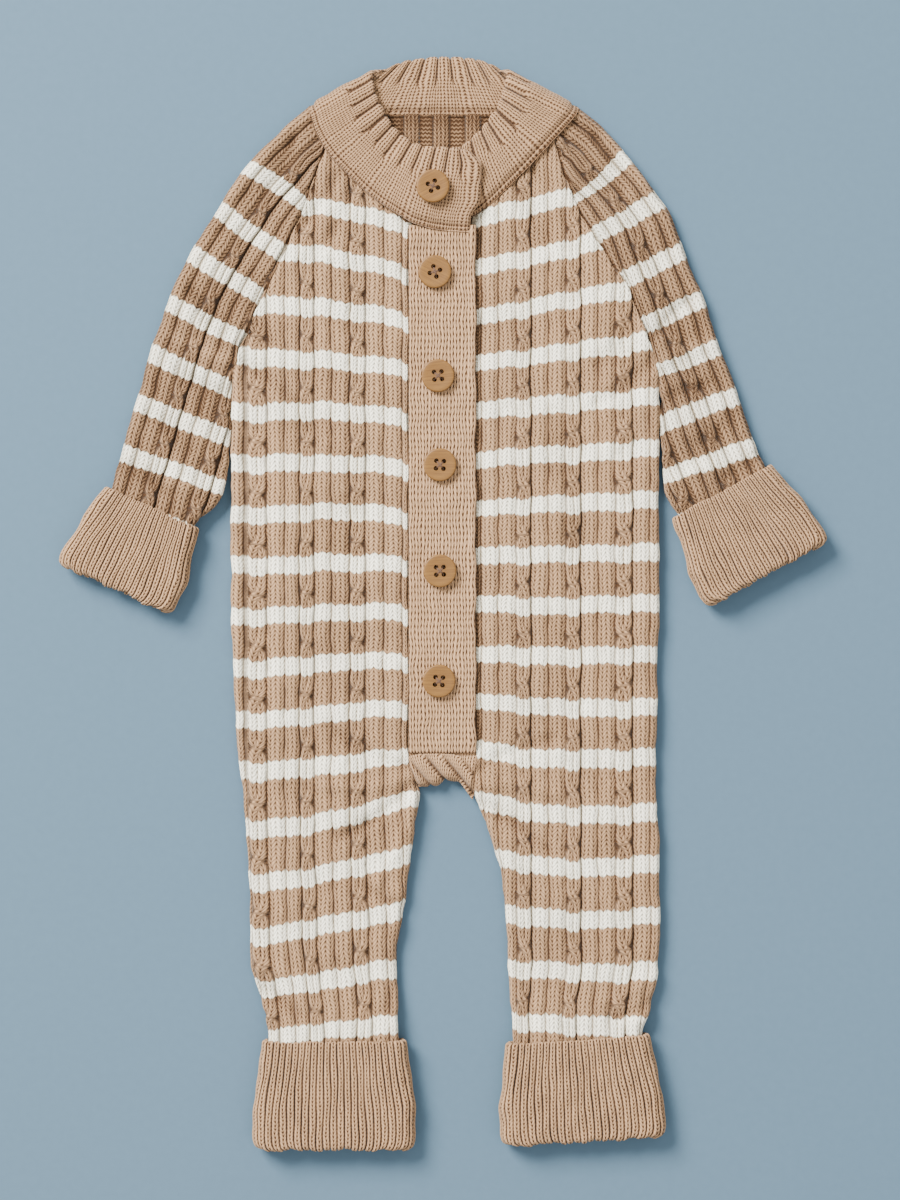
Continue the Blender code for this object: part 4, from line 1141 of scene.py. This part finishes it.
def build_placket(material):
    """The button band and the stand under it."""
    points, knit = slab_grid(BAND_LEFT_X, BAND_RIGHT_X, BAND_TOP_Y, BAND_END_Y, BAND_BASE, BAND_TOP_Z,
                             BAND_ROUND, BAND_ROW_STEP)
    x, y, z = points[..., 0], points[..., 1], points[..., 2]
    top = smooth_step((z - BAND_BASE - 1.6) / 0.6)
    wale = np.abs(2.0 * np.mod(knit[..., 0], 1.0) - 1.0)
    waves = 0.30 * unevenness(x, y, 26.0, 11) + 0.18 * unevenness(x, y, 9.0, 12)
    dips = sum(np.exp(-(((x - bx) / 11.0) ** 2 + ((y - by) / 9.0) ** 2)) for bx, by, _, _ in BUTTONS[1:])
    rims = np.exp(-((BAND_RIGHT_X - 1.8 - x) / 1.3) ** 2)
    points[..., 2] += top * (BAND_WALE_HEIGHT * (1.0 - wale ** 2) + waves
                             - BUTTON_DIP * dips + BAND_RIM * rims)
    points[..., 2] += top * COLLAR_RISE * smooth_step((y - 178.5) / 13.0)
    edge = x > BAND_RIGHT_X - 3.0
    points[..., 0] += np.where(edge, 0.30 * np.sin(y / 7.3) + 0.22 * np.sin(y / 2.9 + 1.0), 0.0)
    knit[..., 0] += 0.12 * unevenness(x, y, 15.0, 13)
    # painted shade on the band's sides and underside
    knit[..., 2] = np.clip(1.0 - top, 0.0, 1.0) * 0.35
    item = mesh_piece("button_band_cloth", [(points, knit, plain_tone(x.shape), True)], material)
    place_piece(item, ["button_band"])
    points, knit = slab_grid(STAND_LEFT_X, BAND_RIGHT_X, STAND_TOP_Y, STAND_END_Y, STAND_BASE,
                             STAND_TOP_Z, STAND_ROUND, STAND_ROW_STEP)
    item = mesh_piece("button_stand_cloth", [(points, knit, plain_tone(points.shape[:2]), True)], material)
    place_piece(item, ["button_stand"])


def collar_profile(width):
    """Across the collar: distance up from the seam, offset from the middle, and the offset's side.

    It runs from the outer face's seam edge over the fold to the inner face's seam edge.
    """
    seam = ((-0.9, -1.2), (-0.6, -0.2), (-0.2, 0.6), (0.4, 1.15), (1.0, 1.3), (1.5, 1.25), (1.95, 1.0),
            (2.4, 1.15), (3.2, 1.75), (4.2, 2.25), (5.2, COLLAR_HALF))
    centre = width - COLLAR_HALF
    border = width - COLLAR_RIB_LENGTH
    flat = [(share, COLLAR_HALF) for share in np.linspace(6.2, border, COLLAR_PLAIN_STEPS)]
    flat += [(share, COLLAR_HALF) for share in np.linspace(border, centre, COLLAR_RIB_STEPS)[1:]]
    fold = [(centre + COLLAR_HALF * math.sin(angle), COLLAR_HALF * math.cos(angle))
            for angle in np.linspace(0.0, math.pi, 15)[1:-1]]
    outer = list(seam) + flat
    inner = [(along, -offset) for along, offset in reversed(outer)]
    return np.array(outer + fold + inner)


def close_ends(points, along, size):
    """Rounds off both ends of a strip's grid by drawing each end row to its own middle line."""
    middle = (points + points[:, ::-1]) / 2
    thickness = end_thickness(np.minimum(along, along[-1] - along) / size)
    points[:] = middle + (points - middle) * np.maximum(thickness, 0.03)[:, None, None]


def bulge_tab(points, along):
    """The collar's front end stands out to the side between its top and its buttonhole."""
    reach = np.clip(1.0 - along / 16.0, 0.0, 1.0)[:, None] ** 1.5
    y = points[..., 1]
    # out over most of its height, back in at the very top
    push = smooth_step((y - 199.0) / 10.0) * smooth_step((235.0 - y) / 9.0)
    points[..., 0] += 4.6 * reach * push - 1.6 * reach * smooth_step((y - 226.0) / 8.0)


def collar_rows(groove, along):
    """Places along the collar of its rows: the same few in every rib, and close ones at both ends."""
    first, last = math.floor(groove[0]), math.ceil(groove[-1])
    wanted = (np.arange(first, last)[:, None] + np.array(COLLAR_PHASES)[None, :]).ravel()
    wanted = wanted[(wanted > groove[0]) & (wanted < groove[-1])]
    rows = np.interp(wanted, groove, along)
    ends = np.array((0.0, 0.12, 0.4, 0.9, 1.6))
    rows = np.concatenate([ends, along[-1] - ends, rows[(rows > 2.0) & (rows < along[-1] - 2.0)]])
    return np.sort(rows)


def build_collar(material):
    """The collar: a folded band around the neck, ribbed along its fold and plain towards its seam."""
    table = np.array(COLLAR_STATIONS)
    sink = np.interp(np.arange(len(table)), (0, 2, 4), (1.6, 1.5, 0.0))
    seam = np.stack([table[:, 0], table[:, 1], table[:, 4] - sink], axis=1)
    fold = np.stack([table[:, 2], table[:, 3], table[:, 4]], axis=1)
    knots = walked((seam + fold) / 2)
    along = np.arange(0.0, knots[-1] + 0.2, 0.4)
    seam = resampled(along, knots, seam, 1.6)
    fold = resampled(along, knots, fold, 1.6)
    fold_walk = walked(fold)
    groove = fold_walk / COLLAR_RIB + 0.05 * np.sin(fold_walk * 0.9) + 0.07 * np.sin(fold_walk * 0.37 + 2.0)
    rows = collar_rows(groove, along)
    groove = np.interp(rows, along, groove)
    seam, fold = (np.stack([np.interp(rows, along, part) for part in line.T], axis=1)
                  for line in (seam, fold))
    ahead = np.gradient(seam + fold, rows, axis=0)
    upward = fold - seam
    width = np.linalg.norm(upward, axis=1)
    upward = upward / width[:, None]
    normal = np.cross(ahead, upward)
    normal = normal / np.linalg.norm(normal, axis=1, keepdims=True)
    profile = np.array([collar_profile(size) for size in width])
    points = (seam[:, None, :] + upward[:, None, :] * profile[..., :1]
              - normal[:, None, :] * profile[..., 1:])
    down = width[:, None] - profile[..., 0]
    number = np.floor(groove)
    length = COLLAR_RIB_LENGTH + 1.6 * np.sin(number * 2.4 + 1.0) + 0.8 * np.sin(number * 5.1)
    share = groove - number
    within = np.abs(2.0 * share - 1.0)
    fade = 1.0 - smooth_step((down - length[:, None] + 4.5) / 5.5)
    face_normals = grid_normals(points)
    side = (face_normals * -normal[:, None, :]).sum(axis=-1) * np.sign(profile[..., 1] + 1e-6)
    direction = math.copysign(1.0, np.median(side[:, 14:24]))
    face_normals = face_normals * direction
    x, y = points[..., 0], points[..., 1]
    waves = 0.35 * unevenness(x, y, 24.0, 15) + 0.12 * unevenness(x, y, 8.0, 16)
    free = smooth_step(profile[..., 0] / 6.0)
    depth = within[:, None] ** 5 * fade
    total = -0.25 * within[:, None] ** 2 * fade - COLLAR_GROOVE * depth + waves * free
    points = points + face_normals * total[..., None]
    close_ends(points, rows, 1.6)
    bulge_tab(points, rows)
    courses = profile[..., 0] / TRIM_COURSE * np.where(profile[..., 1] > 0, 1.0, -1.0) + 700.0
    # painted shade in the grooves between the ribs and in the groove at the seam's line of stitches
    bead = np.exp(-((profile[..., 0] - COLLAR_BEAD) / 0.35) ** 2)
    painted_shade = np.clip(0.9 * within[:, None] ** 8 * fade + 0.50 * bead, 0.0, 1.0)
    plain_wales = np.repeat((groove * 3.0)[:, None], points.shape[1], axis=1)
    ribbed_wales = (3.0 * number + 0.5 + 2.0 * share)[:, None]
    knit = np.stack([plain_wales * (1.0 - fade) + ribbed_wales * fade, courses, painted_shade], axis=-1)
    tone = plain_tone(painted_shade.shape, COLLAR_PURL * (1.0 - 0.6 * fade), COLLAR_SHADE)
    item = mesh_piece("collar_cloth", [(points, knit, tone, False)], material, flip=direction < 0)
    place_piece(item, ["collar"])


def cuff_half_width(share, top, fold):
    """Half width of a cuff at a share of its length from the top edge."""
    return top + (fold - top) * np.interp(share, *np.array(CUFF_PROFILE).T)


def cuff_path(length, reach):
    """Down a cuff's outside, round the fold and up its inside.

    Each point is the distance from the top edge, the offset inwards and the way its face looks.
    """
    wall = 2 * RIB_WALL + LAYER_GAP
    half = wall / 2
    path = [(1.6, RIB_WALL, (0.0, -1.0))]
    lip = RIB_WALL / 2
    for angle in np.linspace(math.pi / 2, -math.pi / 2, 6)[1:]:
        path.append((lip - lip * math.cos(angle), lip + lip * math.sin(angle),
                     (-math.cos(angle), -math.sin(angle))))
    for distance in np.arange(2.4, length - half - 0.8, CUFF_ROW_STEP):
        path.append((distance, 0.0, (0.0, 1.0)))
    centre = length - half
    for angle in np.linspace(0.0, math.pi, 12):
        path.append((centre + half * math.sin(angle), half - half * math.cos(angle),
                     (math.sin(angle), math.cos(angle))))
    for distance in np.linspace(length - half - 2.5, reach, 12):
        path.append((distance, wall, (0.0, -1.0)))
    return path


def build_cuff(name, sizes, material):
    """A turned-up ribbed cuff: a flat ribbed tube folded back over itself."""
    top_x, top_y, fold_x, fold_y, top_half, fold_half, reach, ribs = sizes
    top = np.array((top_x, top_y))
    axis = np.array((fold_x, fold_y)) - top
    length = np.linalg.norm(axis)
    axis = axis / length
    across = np.array((-axis[1], axis[0]))
    around = 2 * (ribs + CUFF_SIDE_RIBS)
    columns = around * CUFF_RIB_COLUMNS
    count = np.arange(columns) / columns * around
    half_height = CUFF_HEIGHT / 2
    path = cuff_path(length, reach)
    points = np.zeros((len(path), columns, 3))
    normals = np.zeros_like(points)
    for row, (distance, inward, look) in enumerate(path):
        half_width = cuff_half_width(np.clip(distance / length, 0.0, 1.0), top_half, fold_half)
        corner = np.clip((distance / length - 0.90) / 0.10, 0.0, 1.0)
        half_width -= CUFF_CORNER * (1.0 - math.sqrt(1.0 - corner * corner))
        place, outward = stadium_points(count, ribs, half_width, half_height)
        place = place - outward * inward
        points[row, :, :2] = top + axis * distance + across * place[:, :1]
        points[row, :, 2] = half_height + place[:, 1]
        normals[row, :, :2] = across * (outward[:, :1] * look[1]) + axis * look[0]
        normals[row, :, 2] = outward[:, 1] * look[1]
    normals /= np.linalg.norm(normals, axis=-1, keepdims=True)
    within = np.abs(2.0 * np.mod(count, 1.0) - 1.0)[None, :]
    distances = np.array([place[0] for place in path])[:, None]
    share = np.clip(distances / length, 0.0, 1.0)
    rib = np.floor(count)
    depth = 0.78 + 0.30 * np.sin(rib * 2.1 + top_x)[None, :] * np.sin(share * 5.0 + rib * 1.3)
    groove = within ** 4 * depth
    uneven = unevenness(points[..., 0], points[..., 1], 17.0, top_x) * CUFF_UNEVEN
    height = 0.20 - CUFF_GROOVE * groove + uneven
    points = points + normals * height[..., None]
    wander = np.sin(share * 6.5 + count * 0.55 + top_x) + 0.6 * np.sin(share * 11.0 + count * 1.7)
    points[..., :2] += across * (CUFF_WANDER * wander * np.sin(share * math.pi))[..., None]
    sag = 0.7 * np.sin(count * 0.9 + 1.0) + 0.5 * np.sin(count * 2.3 + top_y)
    points[..., :2] += axis * (sag[None, :] * smooth_step(share * 2.0 - 1.0) * CUFF_SAG)[..., None]
    walk = walked(np.array([place[:2] for place in path]))
    courses = np.repeat(-walk[:, None] / CUFF_COURSE + 400.0, columns, axis=1)
    wales = np.repeat((rib + 0.09 + 0.82 * np.mod(count, 1.0))[None, :], len(path), axis=0)
    # painted shade in the grooves between the ribs
    painted_shade = 1.32 * within ** 3.6 * np.clip(depth, 0.6, 1.1)
    knit = np.stack([wales, courses, painted_shade], axis=-1)
    item = mesh_piece(f"{name}_cloth", [(points, knit, plain_tone(painted_shade.shape), True)], material)
    place_piece(item, [name])
    width = 4.0 * (top_half + fold_half) / 2 * MM


def stadium_points(count, ribs, half_width, half_height):
    """Points and outward directions round a flat ring, at rib counts from the left end of the top."""
    reach = half_width - half_height
    total = ribs + CUFF_SIDE_RIBS
    place = np.zeros((len(count), 2))
    outward = np.zeros_like(place)
    for index, value in enumerate(count):
        half, value = divmod(value, total)
        sign = 1.0 if half == 0 else -1.0
        if value <= ribs:
            share = value / ribs
            place[index] = (sign * (-reach + 2 * reach * share), sign * half_height)
            outward[index] = (0.0, sign)
        else:
            angle = math.pi * (value - ribs) / CUFF_SIDE_RIBS
            outward[index] = (sign * math.sin(angle), sign * math.cos(angle))
            place[index] = (sign * reach, 0.0) + half_height * outward[index]
    return place, outward


def build_gusset(material):
    """The insert between the legs, drawn up into puckers."""
    table = np.array(GUSSET_STATIONS)
    knots = np.arange(len(table), dtype=float)
    along = np.linspace(-0.42, knots[-1] + 0.42, 140)
    top = resampled(along, knots, table[:, 0:2], 0.25)
    fold = resampled(along, knots, table[:, 2:4], 0.25)
    width = np.linalg.norm(fold - top, axis=1)
    across = np.zeros((len(along), 3))
    across[:, :2] = (fold - top) / width[:, None]
    grids = []
    for face in (1, -1):
        level = np.full(len(along), HALF_HEIGHT + face * HALF_HEIGHT)
        origin = np.concatenate([top, level[:, None]], axis=1)
        seam = (np.full_like(width, 0.9), np.full_like(width, 1.7))
        round_fold = (np.full_like(width, 5.0), np.full_like(width, HALF_HEIGHT))
        arcs = np.linspace(-4.0, 24.0, 52)
        points, normals, arc, _ = laid_face(origin, across, face, arcs, np.zeros_like(width), width,
                                            seam, round_fold, low_tuck=2.4)
        lean = points[..., 0] + GUSSET_LEAN * (points[..., 1] - GUSSET_MIDDLE_Y)
        pucker = sum(height * np.exp(-((lean - place) / size) ** 2) for place, size, height in GUSSET_PUCKERS)
        open_share = smooth_step(arc / 6.0)
        belly = np.sin(np.clip(arc / width[:, None], 0.0, 1.0) * math.pi)
        total = pucker * open_share * GUSSET_PUCKER + GUSSET_BELLY * belly
        points = points + normals * total[..., None]
        past = np.clip(np.maximum(0.1 - along, along - knots[-1] + 0.1) / 0.5, 0.0, 1.0)
        points[..., 2] -= face * 2.6 * smooth_step(past)[:, None]
        wales = np.repeat(along[:, None] * 2.2 + 60.0, arc.shape[1], axis=1) + 0.25 * pucker
        # painted shade in the troughs between the puckers
        painted_shade = np.clip(-pucker * 0.40, 0.0, 0.7) * open_share
        knit = np.stack([wales, -arc / TRIM_COURSE + 80.0, painted_shade], axis=-1)
        grid = (points, knit, plain_tone(painted_shade.shape), False)
        grids.append(grid if face > 0 else turned(grid))
    item = mesh_piece("crotch_gusset_cloth", grids, material, flip=True)
    place_piece(item, ["crotch_gusset"])


def button_mesh(material):
    """A turned disc with a raised rim, a dished middle and four holes."""
    inner = BUTTON_RADIUS - BUTTON_RIM
    profile = [(0.0, 0.0), (BUTTON_RADIUS - 1.2, 0.0)]
    profile += [(BUTTON_RADIUS - 0.9 + 0.9 * math.sin(a), 0.9 - 0.9 * math.cos(a))
                for a in np.linspace(0.15, math.pi / 2, 6)]
    profile += [(BUTTON_RADIUS - 0.7 + 0.7 * math.cos(a), BUTTON_HEIGHT - 0.7 + 0.7 * math.sin(a))
                for a in np.linspace(0.0, math.pi / 2, 6)]
    profile += [(BUTTON_RADIUS - 1.7, BUTTON_HEIGHT), (inner, BUTTON_HEIGHT - 0.02),
                (inner - 1.0, BUTTON_HEIGHT - BUTTON_DISH), (0.0, BUTTON_HEIGHT - BUTTON_DISH)]
    mesh = bpy.data.meshes.new("button_profile")
    points = [(across * MM, 0.0, up * MM) for across, up in reversed(profile)]
    mesh.from_pydata(points, [(step, step + 1) for step in range(len(points) - 1)], [])
    blank = link("button_blank", mesh)
    turn = blank.modifiers.new("turn", "SCREW")
    turn.steps = 72
    turn.render_steps = 72
    turn.use_merge_vertices = True
    turn.merge_threshold = 0.00001
    half = HOLE_SPACING / 2
    cutters = []
    for index, (x, y) in enumerate(((half, half), (-half, half), (-half, -half), (half, -half))):
        bpy.ops.mesh.primitive_cylinder_add(vertices=24, radius=HOLE_RADIUS * MM, depth=0.02,
                                            location=(x * MM, y * MM, 0.0))
        cutters.append(bpy.context.object)
        hole = blank.modifiers.new(f"hole_{index + 1}", "BOOLEAN")
        hole.operation = "DIFFERENCE"
        hole.object = cutters[-1]
    bpy.context.view_layer.update()
    graph = bpy.context.evaluated_depsgraph_get()
    finished = bpy.data.meshes.new_from_object(blank.evaluated_get(graph))
    finished.name = "button_disc"
    for item in (blank, *cutters):
        bpy.data.objects.remove(item)
    finished.materials.clear()
    finished.materials.append(material)
    finished.shade_smooth()
    finished.set_sharp_from_angle(angle=math.radians(38.0))
    return finished


def thread_curve(name, material):
    """Two pairs of strands crossed over a button's middle, their ends down in its holes."""
    line = bpy.data.curves.new(name, "CURVE")
    line.dimensions = "3D"
    line.bevel_depth = THREAD_RADIUS * MM
    line.bevel_resolution = 3
    line.use_fill_caps = True
    deck = BUTTON_HEIGHT - BUTTON_DISH
    near = HOLE_SPACING / 2 * THREAD_SHARE
    for order, (first, last) in enumerate((((-near, -near), (near, near)), ((near, -near), (-near, near)))):
        for offset in (-THREAD_SPREAD, THREAD_SPREAD):
            shares = np.linspace(0.0, 1.0, 13)
            spline = line.splines.new("POLY")
            spline.points.add(len(shares) - 1)
            for point, share in zip(spline.points, shares):
                bow = math.sin(share * math.pi)
                x = first[0] + (last[0] - first[0]) * share - offset * (last[1] - first[1]) / 5.5
                y = first[1] + (last[1] - first[1]) * share + offset * (last[0] - first[0]) / 5.5
                z = deck - 1.5 * (1.0 - bow) ** 3 + (0.14 + 0.2 * order) * bow
                point.co = (x * MM, y * MM, z * MM, 1.0)
    line.materials.append(material)
    return line


def build_buttons(wood, thread):
    """Six buttons, each sewn on with a crossed thread."""
    disc = button_mesh(wood)
    for index, (x, y, turn, seat) in enumerate(BUTTONS):
        name = f"button_{index + 1}"
        item = link(f"{name}_disc", disc)
        sewn = link(f"{name}_thread", thread_curve(f"{name}_thread", thread))
        for part in (item, sewn):
            part.location = Vector((x, y, seat)) * MM
            part.rotation_euler.z = math.radians(turn)
        place_piece(item, [name])
        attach(sewn, "root")


# ---------- room

def build_room():
    """Floor, soft light from the upper left and the camera straight above."""
    mesh = bpy.data.meshes.new("floor")
    half = FLOOR_SIZE / 2
    mesh.from_pydata([(-half, -half, 0.0), (half, -half, 0.0), (half, half, 0.0), (-half, half, 0.0)],
                     [], [(0, 1, 2, 3)])
    mesh.materials.append(floor_material())
    floor = link("floor", mesh)
    floor.location.z = FLOOR_LEVEL
    for name, place, size, power, tint in LIGHTS:
        light = bpy.data.lights.new(name, "AREA")
        light.size = size
        light.energy = power
        light.color = tint
        item = link(name, light)
        item.location = place
        item.rotation_euler = (-Vector(place)).to_track_quat("-Z", "Y").to_euler()
    world = bpy.data.worlds.new("room")
    world.use_nodes = True
    background = world.node_tree.nodes["Background"]
    background.inputs["Color"].default_value = (*WORLD_TINT, 1.0)
    background.inputs["Strength"].default_value = WORLD_STRENGTH
    bpy.context.scene.world = world
    camera = bpy.data.cameras.new("camera")
    camera.lens = CAMERA_LENS
    camera.sensor_width = CAMERA_SENSOR
    camera.clip_end = 20.0
    item = link("camera", camera)
    item.location = CAMERA_PLACE
    bpy.context.scene.camera = item


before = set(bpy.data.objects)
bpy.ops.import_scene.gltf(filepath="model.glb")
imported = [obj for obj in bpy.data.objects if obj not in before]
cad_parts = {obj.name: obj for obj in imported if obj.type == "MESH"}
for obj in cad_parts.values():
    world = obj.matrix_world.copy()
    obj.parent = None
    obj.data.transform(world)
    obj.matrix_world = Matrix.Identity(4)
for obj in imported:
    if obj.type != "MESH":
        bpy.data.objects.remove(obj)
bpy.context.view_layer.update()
knit = knit_material("knit_body", TAN, TAN_PAINTED_SHADE, BODY_GAPS)
trim = knit_material("knit_trim", TRIM, TRIM_PAINTED_SHADE, TRIM_GAPS)
build_back(knit)
build_fronts(knit)
build_sleeves(knit)
build_placket(trim)
build_collar(trim)
build_gusset(trim)
for cuff_name, cuff_sizes in CUFFS.items():
    build_cuff(cuff_name, cuff_sizes, trim)
build_buttons(wood_material(), thread_material())
build_room()
bpy.context.view_layer.update()
